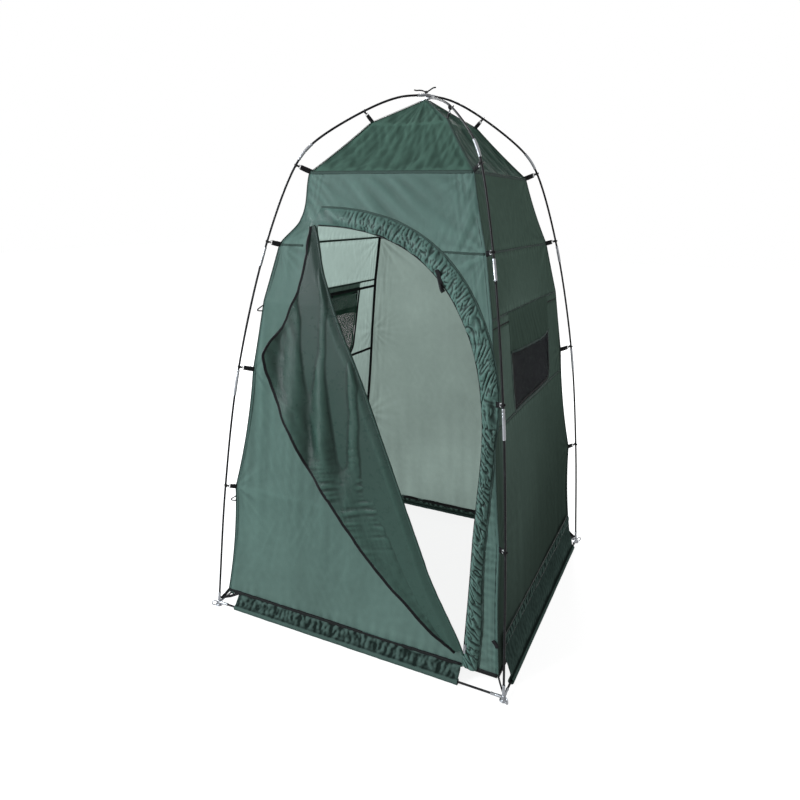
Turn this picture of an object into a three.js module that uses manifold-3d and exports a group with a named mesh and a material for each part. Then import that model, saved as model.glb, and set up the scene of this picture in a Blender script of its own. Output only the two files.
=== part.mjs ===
// A square privacy shelter: two crossed pole arches stand on four base poles, and a fabric cabin
// with a pyramid roof hangs inside them from hooks. The door is a flap that folds along a slanting line.
// Millimetres, +Z up, the door faces -Y, and the origin is on the ground under the crown.

import * as THREE from "three";
import { mergeVertices } from "three/addons/utils/BufferGeometryUtils.js";
import Module from "manifold-3d";

const { Vector2, Vector3 } = THREE;
const wasm = await Module();
wasm.setup();

// ---------------------------------------------------------------- driving dimensions

const BASE_HALF = 650; // half the side of the square through the four feet
const CROWN_Z = 2124; // middle of the upper arch at the crown
const ARCH_STEP = 12.4; // the lower arch passes this far under the upper one
const BASE_POLE_Z = 14; // middle of the base poles

const ROD_R = 4.25;
const FERRULE_R = 5.8;
const ELBOW_R = 5.6;
const GAP = 0.3; // running gap between pieces that touch
const BUTT_GAP = 1.5; // between two rods that meet at a ferrule or an elbow

// The leg poles, as [half side, height] where each hook holds them.
const HOOKS_ON_POLE = [
  [608, 563],
  [550, 1071],
  [456, 1562],
  [371, 1845],
  [180, 2050],
];
const ELBOW_Z = [1864, 1923]; // the bent metal tube above the shoulder hook
const ELBOW_TOP_HALF = 325;
const LOWER_FERRULE_Z = [955, 1060];
const UPPER_FERRULE_Z = [1470, 1540];
const CROWN_FERRULE_HALF = 26; // half side of the square that the crown ferrules cover

// The cabin's corner, as [half side, height] where each hook pulls it out.
const HEM_Z = 58;
const EAVES_Z = 1821;
const CORNERS = [
  [618, HEM_Z],
  [577, 553],
  [509, 1057],
  [472, 1334],
  [421, 1550],
  [332, EAVES_Z],
  [160, 2010],
  [8, 2098],
];
const FABRIC_HOOKS = [1, 2, 4, 5, 6]; // the rows of CORNERS that have a hook
const CLOTH = 2.5; // thickness of a wall
const CORNER_GAP = 5; // a wall stops this far short of its corner, so that the straps pass

// Door: a straight fold line, and an opening edge that is an arch on an upright jamb.
const FOLD_TOP = new Vector2(-275, 1628);
const FOLD_BOTTOM = new Vector2(479, 108);
const ARCH_SPRING_Z = 800;
const ARCH_ROUNDNESS = 2.45;
const ARCH_COVER_WIDTH = 62;
const DOOR_SEAM_Z = 1550;
const FLAP_THICK = 2;
const FLAP_GAP = 6; // between the closed flap and the arch cover
const FOLD_FORWARD = 4; // the fold stands this far in front of the wall
const FLAP_SWING = THREE.MathUtils.degToRad(166); // from folded back to closed

// Windows in the two side walls, as y from the door side to the back.
const WINDOW_Y = [-250, 300];
const WINDOW_Z = [968, 1296];
const WINDOW_CORNER = 60;
const MESH_GAP = 4;
const HOOD_Y = [-265, 310];
const HOOD_Z = [1190, 1330];
const HOOD_OUT = 30; // how far the hood's lower edge stands off the wall

const SIDE_SKIRT_Z = 190;
const SKIRT_SPAN = { front: [-560, 474], back: [-560, 560], right: [-560, 560], left: [-560, 560] };

const STRAP_TALL = 19;
const STRAP_THICK = 1.5;
const HOOK_R = 8.9;
const HOOK_SLACK = 2.3; // between a hook and its pole
const HOOK_MOUTH = 0.9; // half the angle that a hook leaves open

const LEGS = { front_left: [-1, -1], front_right: [1, -1], back_right: [1, 1], back_left: [-1, 1] };
const UPPER_ARCH = ["front_left", "back_right"];
const SIDES = ["front", "right", "back", "left"];

// ---------------------------------------------------------------- finishes

const finish = (color, roughness, metalness = 0) => ({ color, roughness, metalness });
const BLACK_ROD = finish(0x1b1c1e, 0.35);
const STEEL = finish(0xb9bdc0, 0.3, 0.9);
const OUTER_CLOTH = finish(0x4f6a62, 0.6);
const ROOF_CLOTH = finish(0x42584e, 0.6);
const FLAP_CLOTH = finish(0x456459, 0.45);
const SKIRT_CLOTH = finish(0x2f433d, 0.55);
const MESH_CLOTH = finish(0x26242c, 0.9);
const WEBBING = finish(0x17171a, 0.8);

// ---------------------------------------------------------------- solids

// A solid from a closed geometry, turned so that its faces point out.
function solid(geometry) {
  const bare = geometry.index ? geometry.toNonIndexed() : geometry.clone();
  bare.deleteAttribute("normal");
  bare.deleteAttribute("uv");
  const merged = mergeVertices(bare, 1e-3);
  const position = merged.attributes.position;
  const triVerts = new Uint32Array(merged.index.array);
  const corner = (i) => new Vector3().fromBufferAttribute(position, triVerts[i]);
  let volume = 0;
  for (let i = 0; i < triVerts.length; i += 3) {
    volume += corner(i).dot(corner(i + 1).cross(corner(i + 2)));
  }
  if (volume < 0) triVerts.reverse();
  return new wasm.Manifold(new wasm.Mesh({ numProp: 3, vertProperties: position.array, triVerts }));
}

function geometryOf(body) {
  const mesh = body.getMesh();
  const geometry = new THREE.BufferGeometry();
  geometry.setAttribute("position", new THREE.BufferAttribute(mesh.vertProperties, 3));
  geometry.setIndex(new THREE.BufferAttribute(mesh.triVerts, 1));
  geometry.computeVertexNormals();
  return geometry;
}

const group = new THREE.Group();

function addPiece(name, body, look) {
  const mesh = new THREE.Mesh(geometryOf(body), new THREE.MeshStandardMaterial(look));
  mesh.name = name;
  group.add(mesh);
}

// A closed plate: the rows of points are its outer face, and its inner face is `inward` from them.
// A cell that isn't flat is folded along the same diagonal on both faces.
function plate(rows, inward) {
  const across = rows[0].length;
  const outer = rows.flat();
  const points = [...outer, ...outer.map((p) => p.clone().add(inward))];
  const index = [];
  const quad = (a, b, c, d) => index.push(a, b, c, a, c, d);
  const at = (row, column) => row * across + column;
  const rim = (a, b) => quad(b, a, a + outer.length, b + outer.length);
  for (let row = 0; row + 1 < rows.length; row++) {
    for (let column = 0; column + 1 < across; column++) {
      const [a, b] = [at(row, column), at(row, column + 1)];
      const [c, d] = [at(row + 1, column + 1), at(row + 1, column)];
      quad(a, b, c, d);
      quad(...[a, d, c, b].map((i) => i + outer.length));
    }
    rim(at(row + 1, 0), at(row, 0));
    rim(at(row, across - 1), at(row + 1, across - 1));
  }
  for (let column = 0; column + 1 < across; column++) {
    rim(at(0, column), at(0, column + 1));
    rim(at(rows.length - 1, column + 1), at(rows.length - 1, column));
  }
  const geometry = new THREE.BufferGeometry();
  const position = new Float32Array(points.flatMap((p) => p.toArray()));
  geometry.setAttribute("position", new THREE.BufferAttribute(position, 3));
  geometry.setIndex(index);
  return solid(geometry);
}

// A round bar along a curve. A full circle is drawn with twice `curveSegments` sides.
function bar(points, radius, sides = 10, steps = points.length - 1) {
  const section = new THREE.Shape();
  section.absarc(0, 0, radius, 0, 2 * Math.PI);
  const extrudePath = new THREE.CatmullRomCurve3(points);
  return solid(new THREE.ExtrudeGeometry(section, { steps, curveSegments: sides / 2, extrudePath }));
}

// A flat strap between two points; `flat` is the direction of its thickness.
function strap(from, to, wide, thick, flat) {
  const along = to.clone().sub(from);
  const box = new THREE.BoxGeometry(along.length(), thick, wide);
  const x = along.clone().normalize();
  const y = flat.clone().normalize();
  const z = x.clone().cross(y);
  const middle = from.clone().add(to).multiplyScalar(0.5);
  box.applyMatrix4(new THREE.Matrix4().makeBasis(x, y, z).setPosition(middle));
  return solid(box);
}

const union = (bodies) => bodies.reduce((all, body) => all.add(body));

// ---------------------------------------------------------------- places

// A point on one side of the shelter: `u` is its x (front, back) or y (left, right).
function onSide(side, u, out, z) {
  if (side === "front") return new Vector3(u, -out, z);
  if (side === "back") return new Vector3(u, out, z);
  if (side === "right") return new Vector3(out, u, z);
  return new Vector3(-out, u, z);
}

// The outline `shape`, in u and z, as a solid that passes through one side's wall.
function throughSide(side, shape) {
  const near = 100;
  const geometry = new THREE.ExtrudeGeometry(shape, { depth: 800, bevelEnabled: false, curveSegments: 24 });
  const position = geometry.attributes.position;
  for (let i = 0; i < position.count; i++) {
    const p = onSide(side, position.getX(i), near + position.getZ(i), position.getY(i));
    position.setXYZ(i, p.x, p.y, p.z);
  }
  return solid(geometry);
}

// The cabin's half side at a height.
function halfAt(z) {
  const above = CORNERS.findIndex(([, knot]) => knot >= z);
  if (above <= 0) return CORNERS[0][0];
  const [r0, z0] = CORNERS[above - 1];
  const [r1, z1] = CORNERS[above];
  return r0 + ((r1 - r0) * (z - z0)) / (z1 - z0);
}

const onFront = (x, z, forward = 0) => new Vector3(x, -halfAt(z) - forward, z);

// ---------------------------------------------------------------- frame

// The whole leg pole from its foot to the crown, as a curve whose height only rises.
function legCurve(leg) {
  const [sx, sy] = LEGS[leg];
  const crown = UPPER_ARCH.includes(leg) ? CROWN_Z : CROWN_Z - ARCH_STEP;
  const knots = [
    [BASE_HALF, BASE_POLE_Z],
    ...HOOKS_ON_POLE.slice(0, 4),
    [ELBOW_TOP_HALF, ELBOW_Z[1]],
    HOOKS_ON_POLE[4],
    [80, crown - 16],
    [0, crown],
  ];
  return new THREE.CatmullRomCurve3(knots.map(([r, z]) => new Vector3(sx * r, sy * r, z)));
}

// The last place on the curve, from 0 to 1, whose point is still `before` the one sought, by halving.
function lastPlace(curve, before) {
  let [low, high] = [0, 1];
  for (let i = 0; i < 40; i++) {
    const middle = (low + high) / 2;
    if (before(curve.getPoint(middle))) low = middle;
    else high = middle;
  }
  return low;
}

const whereAtHeight = (curve, z) => lastPlace(curve, (point) => point.z < z);
const whereAtHalf = (curve, half) => lastPlace(curve, (point) => Math.abs(point.x) > half);

function stretch(curve, from, to, steps) {
  const points = [];
  for (let i = 0; i <= steps; i++) points.push(curve.getPoint(from + ((to - from) * i) / steps));
  return points;
}

const FOOT_SOCKET = 48; // length of the socket that holds a pole at the foot

function addLeg(leg) {
  const curve = legCurve(leg);
  const at = (z) => whereAtHeight(curve, z);
  const foot = at(BASE_POLE_Z + FOOT_SOCKET + BUTT_GAP);
  const lower = [at(LOWER_FERRULE_Z[0]), at(LOWER_FERRULE_Z[1])];
  const upper = [at(UPPER_FERRULE_Z[0]), at(UPPER_FERRULE_Z[1])];
  const elbow = [at(ELBOW_Z[0]), at(ELBOW_Z[1])];
  const crown = whereAtHalf(curve, CROWN_FERRULE_HALF);
  const back = at(LOWER_FERRULE_Z[0]) - at(LOWER_FERRULE_Z[0] - BUTT_GAP);

  addPiece(`${leg}_lower_rod`, bar(stretch(curve, foot, lower[0] - back, 8), ROD_R), BLACK_ROD);
  const middleRod = bar(stretch(curve, lower[0], upper[0] - back, 6), ROD_R);
  const lowerFerrule = bar(stretch(curve, lower[0], lower[1], 2), FERRULE_R);
  addPiece(`${leg}_middle_rod`, middleRod.add(lowerFerrule), BLACK_ROD);
  const upperRod = bar(stretch(curve, upper[0], elbow[0] - back, 10), ROD_R);
  const upperFerrule = bar(stretch(curve, upper[0], upper[1], 2), FERRULE_R);
  addPiece(`${leg}_upper_rod`, upperRod.add(upperFerrule), BLACK_ROD);
  addPiece(`${leg}_elbow`, bar(stretch(curve, elbow[0], elbow[1], 5), ELBOW_R), STEEL);
  const roofRod = bar(stretch(curve, elbow[1] + back, crown - back, 12), ROD_R);
  addPiece(`${leg}_roof_rod`, roofRod, BLACK_ROD);
}

// The short tube at the crown that joins the two roof rods of one arch.
function addCrownFerrule(name, legA, legB) {
  const a = legCurve(legA);
  const b = legCurve(legB);
  const near = stretch(a, whereAtHalf(a, CROWN_FERRULE_HALF), 1, 2);
  const far = stretch(b, 1, whereAtHalf(b, CROWN_FERRULE_HALF), 2);
  addPiece(name, bar([...near, ...far.slice(1)], FERRULE_R), STEEL);
}

function addBasePole(side) {
  const reach = BASE_HALF - FOOT_SOCKET - GAP;
  const ends = [-reach, reach].map((u) => onSide(side, u, BASE_HALF, BASE_POLE_Z));
  addPiece(`${side}_base_pole`, bar(ends, ROD_R, 10, 1), BLACK_ROD);
}

// The foot fitting: a flat pad, three sockets and an outer eye for a ground peg.
const FOOT_PAD_R = 15;
const EYE_R = 13;
const EYE_HOLE_R = 8;
const EYE_THICK = 5;
const EYE_REACH = 19.5;

function addFoot(leg) {
  const [sx, sy] = LEGS[leg];
  const centre = new Vector3(sx * BASE_HALF, sy * BASE_HALF, BASE_POLE_Z);
  const pad = new THREE.CylinderGeometry(FOOT_PAD_R, FOOT_PAD_R, 4, 12);
  pad.rotateX(Math.PI / 2).translate(centre.x, centre.y, 2);
  const hub = new THREE.CylinderGeometry(8.5, 8.5, 22, 12);
  hub.rotateX(Math.PI / 2).translate(centre.x, centre.y, 13);

  const socketTo = (end) => bar([centre, end], FERRULE_R, 12, 1);
  const alongX = socketTo(centre.clone().add(new Vector3(-sx * FOOT_SOCKET, 0, 0)));
  const alongY = socketTo(centre.clone().add(new Vector3(0, -sy * FOOT_SOCKET, 0)));
  const curve = legCurve(leg);
  const upward = socketTo(curve.getPoint(whereAtHeight(curve, BASE_POLE_Z + FOOT_SOCKET)));

  const ring = new THREE.Shape();
  ring.absarc(0, 0, EYE_R, 0, 2 * Math.PI);
  ring.holes.push(new THREE.Path().absarc(0, 0, EYE_HOLE_R, 0, 2 * Math.PI, true));
  const eye = new THREE.ExtrudeGeometry(ring, { depth: EYE_THICK, bevelEnabled: false, curveSegments: 8 });
  eye.translate(0, 0, -EYE_THICK / 2).rotateX(Math.PI / 2);
  eye.rotateZ(Math.atan2(sy, sx));
  const outward = new Vector3(sx, sy, 0).normalize().multiplyScalar(EYE_REACH);
  eye.translate(centre.x + outward.x, centre.y + outward.y, BASE_POLE_Z);

  const eyeBore = new THREE.CylinderGeometry(EYE_HOLE_R, EYE_HOLE_R, 4 * EYE_THICK, 16);
  eyeBore.rotateZ(Math.atan2(sy, sx));
  eyeBore.translate(centre.x + outward.x, centre.y + outward.y, BASE_POLE_Z);
  const body = union([solid(pad), solid(hub), alongX, alongY, upward]);
  addPiece(`${leg}_foot`, body.subtract(solid(eyeBore)).add(solid(eye)), STEEL);
}

Object.keys(LEGS).forEach(addLeg);
addCrownFerrule("upper_crown_ferrule", "front_left", "back_right");
addCrownFerrule("lower_crown_ferrule", "front_right", "back_left");
SIDES.forEach(addBasePole);
Object.keys(LEGS).forEach(addFoot);

// ---------------------------------------------------------------- walls

const INTO = {
  front: new Vector3(0, 1, 0),
  right: new Vector3(-1, 0, 0),
  back: new Vector3(0, -1, 0),
  left: new Vector3(1, 0, 0),
};

// A whole wall, from the hem to the eaves, `forward` in front of the cabin's surface.
function wholeWall(side, thick = CLOTH, forward = 0) {
  const wallRows = CORNERS.filter(([, z]) => z <= EAVES_Z).map(([r, z]) => {
    const reach = r - CORNER_GAP;
    return [-reach, reach].map((u) => onSide(side, u, r + forward, z));
  });
  return plate(wallRows, INTO[side].clone().multiplyScalar(thick));
}

// A rectangle whose corner at u1, z0 may be round.
function rectangle(u0, u1, z0, z1, corner = 0) {
  const shape = new THREE.Shape();
  shape.moveTo(u0, z0);
  shape.lineTo(u1 - corner, z0);
  if (corner) shape.absarc(u1 - corner, z0 + corner, corner, -Math.PI / 2, 0);
  shape.lineTo(u1, z1);
  shape.lineTo(u0, z1);
  return shape;
}

// The window's outline: square towards the door, rounded low down towards the back.
const windowOutline = (inset) =>
  rectangle(
    WINDOW_Y[0] + inset,
    WINDOW_Y[1] - inset,
    WINDOW_Z[0] + inset,
    WINDOW_Z[1] - inset,
    WINDOW_CORNER - inset,
  );

function addSideWall(side) {
  const opening = throughSide(side, windowOutline(0));
  addPiece(`${side}_wall`, wholeWall(side).subtract(opening), OUTER_CLOTH);
  const mesh = wholeWall(side, 2).intersect(throughSide(side, windowOutline(MESH_GAP)));
  addPiece(`${side}_window_mesh`, mesh, MESH_CLOTH);
  const hoodRows = [
    [HOOD_Z[1], 3],
    [HOOD_Z[0], HOOD_OUT + 2],
  ].map(([z, out]) => HOOD_Y.map((y) => onSide(side, y, halfAt(z) + out, z)));
  addPiece(`${side}_window_hood`, plate(hoodRows, INTO[side].clone().multiplyScalar(1.5)), OUTER_CLOTH);
}

// ---------------------------------------------------------------- door

// The free edge of the door opening, `out` wider than the arch cover's inner edge.
function openingEdge(out) {
  const centreX = FOLD_TOP.x;
  const wide = FOLD_BOTTOM.x - centreX + out;
  const tall = FOLD_TOP.y - ARCH_SPRING_Z + out;
  const points = [];
  for (let i = 0; i <= 28; i++) {
    const t = (Math.PI / 2) * (1 - i / 28);
    const x = centreX + wide * Math.cos(t) ** (2 / ARCH_ROUNDNESS);
    const z = ARCH_SPRING_Z + tall * Math.sin(t) ** (2 / ARCH_ROUNDNESS);
    points.push(new Vector2(x, z));
  }
  return points;
}

const heightAlongFold = (z) => (FOLD_TOP.y - z) / (FOLD_TOP.y - FOLD_BOTTOM.y);
const foldTop = onFront(FOLD_TOP.x, FOLD_TOP.y);
const foldBottom = onFront(FOLD_BOTTOM.x, FOLD_BOTTOM.y);
const foldAt = (z) => foldTop.clone().lerp(foldBottom, Math.max(0, Math.min(1, heightAlongFold(z))));

function addFrontWall() {
  const edge = openingEdge(12);
  const belowHem = HEM_Z - 50;
  const opening = new THREE.Shape([
    new Vector2(-BASE_HALF, FOLD_TOP.y - 4),
    new Vector2(-BASE_HALF, belowHem),
    new Vector2(edge.at(-1).x, belowHem),
    ...edge.slice().reverse(),
    new Vector2(FOLD_TOP.x, FOLD_TOP.y - 4),
  ]);
  const wall = wholeWall("front").subtract(throughSide("front", opening));
  const above = throughSide("front", rectangle(-BASE_HALF, BASE_HALF, DOOR_SEAM_Z + GAP, EAVES_Z + 50));
  const below = throughSide("front", rectangle(-BASE_HALF, BASE_HALF, belowHem, DOOR_SEAM_Z - GAP));
  addPiece("front_header", wall.intersect(above), OUTER_CLOTH);
  addPiece("front_right_jamb", wall.intersect(below), OUTER_CLOTH);

  const heights = [
    ...[HEM_Z, FOLD_BOTTOM.y, 220, 330, 441, 553, 676, 800, 928],
    ...[1057, 1195, 1334, 1442, DOOR_SEAM_Z, FOLD_TOP.y - 6],
  ];
  const rows = heights.map((z) => {
    const onFold = foldAt(z);
    const y = z < FOLD_BOTTOM.y ? -halfAt(z) : onFold.y;
    return [onFront(CORNER_GAP - halfAt(z), z), new Vector3(onFold.x, y, z)];
  });
  addPiece("front_left_panel", plate(rows, new Vector3(0, CLOTH, 0)), OUTER_CLOTH);

  const inner = openingEdge(0);
  const outer = openingEdge(ARCH_COVER_WIDTH);
  const bottom = HEM_Z + 8;
  const strip = new THREE.Shape([
    ...inner,
    new Vector2(inner.at(-1).x, bottom),
    new Vector2(outer.at(-1).x, bottom),
    ...outer.slice().reverse(),
  ]);
  const cover = wholeWall("front", 3, 4).intersect(throughSide("front", strip));
  addPiece("arch_cover", cover, OUTER_CLOTH);
}

// The flap is drawn closed, as a plane through the fold and the jamb, and swung back from there.
const forward = new Vector3(0, -FOLD_FORWARD, 0);
const hingeTop = foldTop.clone().add(forward);
const along = foldBottom.clone().sub(foldTop).normalize();
const foldLength = foldBottom.distanceTo(foldTop);

function addFlap() {
  const onJamb = onFront(FOLD_BOTTOM.x, ARCH_SPRING_Z).sub(hingeTop);
  const across = onJamb.clone().addScaledVector(along, -onJamb.dot(along)).normalize();
  const outline = [new Vector2(foldLength - 40, 3), new Vector2(14, 3)];
  openingEdge(-FLAP_GAP).forEach(({ x, y: z }) => {
    const p = onFront(x, z).sub(hingeTop);
    const corner = new Vector2(p.dot(along), p.dot(across));
    if (corner.y > 6) outline.push(corner);
  });
  [500, 300, 180].forEach((z) => {
    const p = onFront(FOLD_BOTTOM.x - FLAP_GAP, z).sub(hingeTop);
    outline.push(new Vector2(p.dot(along), p.dot(across)));
  });
  const shape = new THREE.Shape(outline);
  const flap = new THREE.ExtrudeGeometry(shape, { depth: FLAP_THICK, bevelEnabled: false });
  flap.translate(0, 0, -FLAP_THICK / 2);
  const openAcross = across.clone().applyAxisAngle(along, FLAP_SWING);
  const normal = along.clone().cross(openAcross);
  flap.applyMatrix4(new THREE.Matrix4().makeBasis(along, openAcross, normal).setPosition(hingeTop));
  addPiece("door_flap", solid(flap), FLAP_CLOTH);
}

// The zip's slider waits at the foot of the jamb, with its pull hanging from it.
const SLIDER_Z = 150;
const SLIDER_FORWARD = 8;

function addSlider() {
  const x = FOLD_BOTTOM.x + 6;
  const slope = Math.atan2(CORNERS[0][0] - CORNERS[1][0], CORNERS[1][1] - CORNERS[0][1]);
  const shape = new THREE.Shape([
    new Vector2(-4, -11),
    new Vector2(4, -11),
    new Vector2(6, 4),
    new Vector2(6, 11),
    new Vector2(-6, 11),
    new Vector2(-6, 4),
  ]);
  const slider = new THREE.ExtrudeGeometry(shape, { depth: 5, bevelEnabled: false });
  const pull = new THREE.Shape();
  pull.moveTo(4, 1.2);
  pull.lineTo(-4, 1.2);
  pull.absarc(0, -28, 4, Math.PI, 2 * Math.PI);
  const pullPlate = new THREE.ExtrudeGeometry(pull, { depth: 1.6, bevelEnabled: false, curveSegments: 6 });
  pullPlate.translate(0, 6, 6);
  [slider, pullPlate].forEach((g) => {
    g.rotateX(Math.PI / 2 - slope);
    g.translate(x, -halfAt(SLIDER_Z) - SLIDER_FORWARD, SLIDER_Z);
  });
  addPiece("zip_slider", solid(slider), STEEL);
  addPiece("zip_pull", solid(pullPlate), STEEL);
}

addSideWall("right");
addSideWall("left");
addPiece("back_wall", wholeWall("back"), OUTER_CLOTH);
addFrontWall();
addFlap();
addSlider();

// ---------------------------------------------------------------- roof and skirts

function addRoof(side) {
  const rows = CORNERS.filter(([, z]) => z >= EAVES_Z).map(([r, z], i) => {
    const reach = r - CORNER_GAP;
    return [-reach, reach].map((u) => onSide(side, u, r, i ? z : z + 1.8 + GAP));
  });
  const inward = INTO[side].clone().multiplyScalar(1.5).setZ(-1.5);
  addPiece(`${side}_roof`, plate(rows, inward), ROOF_CLOTH);
}

// A skirt hangs from the wall and ends in a sleeve round the base pole.
function addSkirt(side) {
  const tall = side === "left" || side === "right";
  const [from, to] = SKIRT_SPAN[side];
  const topZ = tall ? SIDE_SKIRT_Z : HEM_Z - 1;
  const topOut = tall ? halfAt(SIDE_SKIRT_Z) + 3 : halfAt(HEM_Z) + 1;
  const sleeveR = ROD_R + 1.6;
  const rows = [
    [topOut, topZ],
    [BASE_HALF, BASE_POLE_Z + sleeveR - 0.4],
  ].map(([out, z]) => [from, to].map((u) => onSide(side, u, out, z)));
  const ends = [from, to].map((u) => onSide(side, u, BASE_HALF, BASE_POLE_Z));
  const past = [from - 10, to + 10].map((u) => onSide(side, u, BASE_HALF, BASE_POLE_Z));
  const skirt = plate(rows, INTO[side].clone().multiplyScalar(1.5)).add(bar(ends, sleeveR, 12, 1));
  addPiece(`${side}_skirt`, skirt.subtract(bar(past, ROD_R + GAP, 12, 1)), SKIRT_CLOTH);
}

SIDES.forEach(addRoof);
SIDES.forEach(addSkirt);

// ---------------------------------------------------------------- webbing

// A C-shaped hook that snaps round a pole, open on its outer side.
function hookAt(centre, tangent, outward) {
  const shape = new THREE.Shape();
  shape.absarc(0, 0, HOOK_R, HOOK_MOUTH, 2 * Math.PI - HOOK_MOUTH);
  shape.absarc(0, 0, ROD_R + HOOK_SLACK, 2 * Math.PI - HOOK_MOUTH, HOOK_MOUTH, true);
  const hook = new THREE.ExtrudeGeometry(shape, { depth: 10, bevelEnabled: false, curveSegments: 4 });
  hook.translate(0, 0, -5);
  const x = outward.clone().addScaledVector(tangent, -outward.dot(tangent)).normalize();
  const y = tangent.clone().cross(x);
  hook.applyMatrix4(new THREE.Matrix4().makeBasis(x, y, tangent).setPosition(centre));
  return solid(hook);
}

// The tape inside one corner of the cabin, with the straps and hooks that hold it to its leg.
function addWebbing(leg) {
  const [sx, sy] = LEGS[leg];
  const diagonal = new Vector3(sx, sy, 0).normalize();
  const flat = new Vector3(-sy, sx, 0).normalize();
  const place = (r, z) => new Vector3(sx * r, sy * r, z);
  const tapeIn = 8;
  const tapeHalf = flat.clone().multiplyScalar(5);
  const rows = CORNERS.slice(0, -1).map(([r, z]) => {
    const middle = place(r - tapeIn, z > EAVES_Z ? z - 4 : z);
    return [middle.clone().sub(tapeHalf), middle.clone().add(tapeHalf)];
  });
  const thickness = diagonal.clone().multiplyScalar(-1.2).setZ(-1.2);
  const parts = [plate(rows, thickness)];

  const curve = legCurve(leg);
  FABRIC_HOOKS.forEach((row, i) => {
    const [r, z] = CORNERS[row];
    const where = whereAtHeight(curve, HOOKS_ON_POLE[i][1]);
    const onPole = curve.getPoint(where);
    const tangent = curve.getTangent(where);
    const start = place(r - tapeIn - 1, z > EAVES_Z ? z - 5 : z);
    const reach = onPole.clone().sub(start);
    const end = onPole.clone().addScaledVector(reach.normalize(), -(ROD_R + HOOK_SLACK + 0.6));
    const tall = row === 6 ? STRAP_TALL - 5 : STRAP_TALL;
    parts.push(strap(start, end, tall, STRAP_THICK, flat));
    parts.push(hookAt(onPole, tangent, reach));
  });

  const hemEnd = place(CORNERS[0][0] - tapeIn - 0.5, HEM_Z + 8);
  parts.push(strap(hemEnd, place(BASE_HALF - 10.5, BASE_POLE_Z + 21), 14, STRAP_THICK, flat));
  addPiece(`${leg}_webbing`, union(parts), WEBBING);
}

Object.keys(LEGS).forEach(addWebbing);

// ---------------------------------------------------------------- crown tie

const TIE_R = 2;
const TIE_BASE_Z = CROWN_Z + FERRULE_R + GAP;
const TIE_ENDS = {
  left: [
    [-7, -2, 6],
    [-18, -8, 12],
    [-32, -16, 14],
    [-46, -24, 10],
    [-58, -29, 12],
  ],
  right: [
    [7, 2, 6],
    [17, 9, 13],
    [27, 14, 19],
    [36, 18, 24],
    [50, 23, 21],
  ],
};

const knotShape = new THREE.SphereGeometry(1, 10, 6);
knotShape.scale(6.5, 6.5, 4).translate(0, 0, TIE_BASE_Z + 4.1);
addPiece("crown_tie_knot", solid(knotShape), WEBBING);
Object.entries(TIE_ENDS).forEach(([name, route]) => {
  const points = route.map(([x, y, z]) => new Vector3(x, y, TIE_BASE_Z + z));
  addPiece(`crown_tie_${name}`, bar(points, TIE_R, 8, 8), WEBBING);
});

export default group;
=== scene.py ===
"""The looks of a pole-framed privacy shelter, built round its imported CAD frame.

Metres, +Z up, the door faces -Y, and the origin is on the ground under the crown.
"""

import math

import bpy
import numpy as np
from mathutils import Matrix, Vector


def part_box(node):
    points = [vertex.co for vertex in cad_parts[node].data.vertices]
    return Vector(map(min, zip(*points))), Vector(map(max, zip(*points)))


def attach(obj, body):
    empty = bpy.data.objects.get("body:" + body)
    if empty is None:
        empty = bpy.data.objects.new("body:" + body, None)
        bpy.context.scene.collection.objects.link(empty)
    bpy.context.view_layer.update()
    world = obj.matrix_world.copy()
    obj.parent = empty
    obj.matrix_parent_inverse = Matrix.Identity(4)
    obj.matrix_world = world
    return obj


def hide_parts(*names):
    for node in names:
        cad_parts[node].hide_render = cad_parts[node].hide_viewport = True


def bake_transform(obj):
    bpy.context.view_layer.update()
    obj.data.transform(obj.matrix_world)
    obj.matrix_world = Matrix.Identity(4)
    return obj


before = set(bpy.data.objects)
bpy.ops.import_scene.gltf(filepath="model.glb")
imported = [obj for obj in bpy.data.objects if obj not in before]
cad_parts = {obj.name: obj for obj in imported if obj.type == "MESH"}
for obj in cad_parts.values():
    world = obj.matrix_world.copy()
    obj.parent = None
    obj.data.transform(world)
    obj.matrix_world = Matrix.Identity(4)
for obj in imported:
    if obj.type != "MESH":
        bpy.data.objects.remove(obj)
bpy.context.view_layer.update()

# ---------------------------------------------------------------- dimensions, as in the CAD source

BASE_HALF = 0.65
CROWN_Z = 2.124
ARCH_STEP = 0.0124
BASE_POLE_Z = 0.014
ROD_R = 0.00425
FERRULE_R = 0.0058
ELBOW_R = 0.0056
HOOKS_ON_POLE = [(0.608, 0.563), (0.550, 1.071), (0.456, 1.562), (0.371, 1.845), (0.180, 2.050)]
ELBOW_Z = (1.864, 1.923)
ELBOW_TOP_HALF = 0.325
LOWER_FERRULE_Z = (0.955, 1.060)
UPPER_FERRULE_Z = (1.470, 1.540)
CROWN_FERRULE_HALF = 0.026
FOOT_SOCKET = 0.048
ROD_IN_SOCKET = 0.020
ROD_SIDES = 14

HEM_Z = 0.058
EAVES_Z = 1.821
APEX_Z = 2.103
CORNER_R = [0.618, 0.577, 0.509, 0.472, 0.421, 0.332, 0.160, 0.008]
CORNER_Z = [HEM_Z, 0.553, 1.057, 1.334, 1.550, EAVES_Z, 2.010, APEX_Z]
HOOK_ROWS = [1, 2, 4, 5, 6]
SHOULDER_ROW = 4
ROOF_ROW = 6
# How far the cloth's edge bows in between two of its hooks.
BOW_Z = [HEM_Z, 0.553, 1.057, 1.550, EAVES_Z, 2.010, APEX_Z]
BOW = [0.008, 0.008, 0.002, 0.005, 0.004, 0.001]

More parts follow.
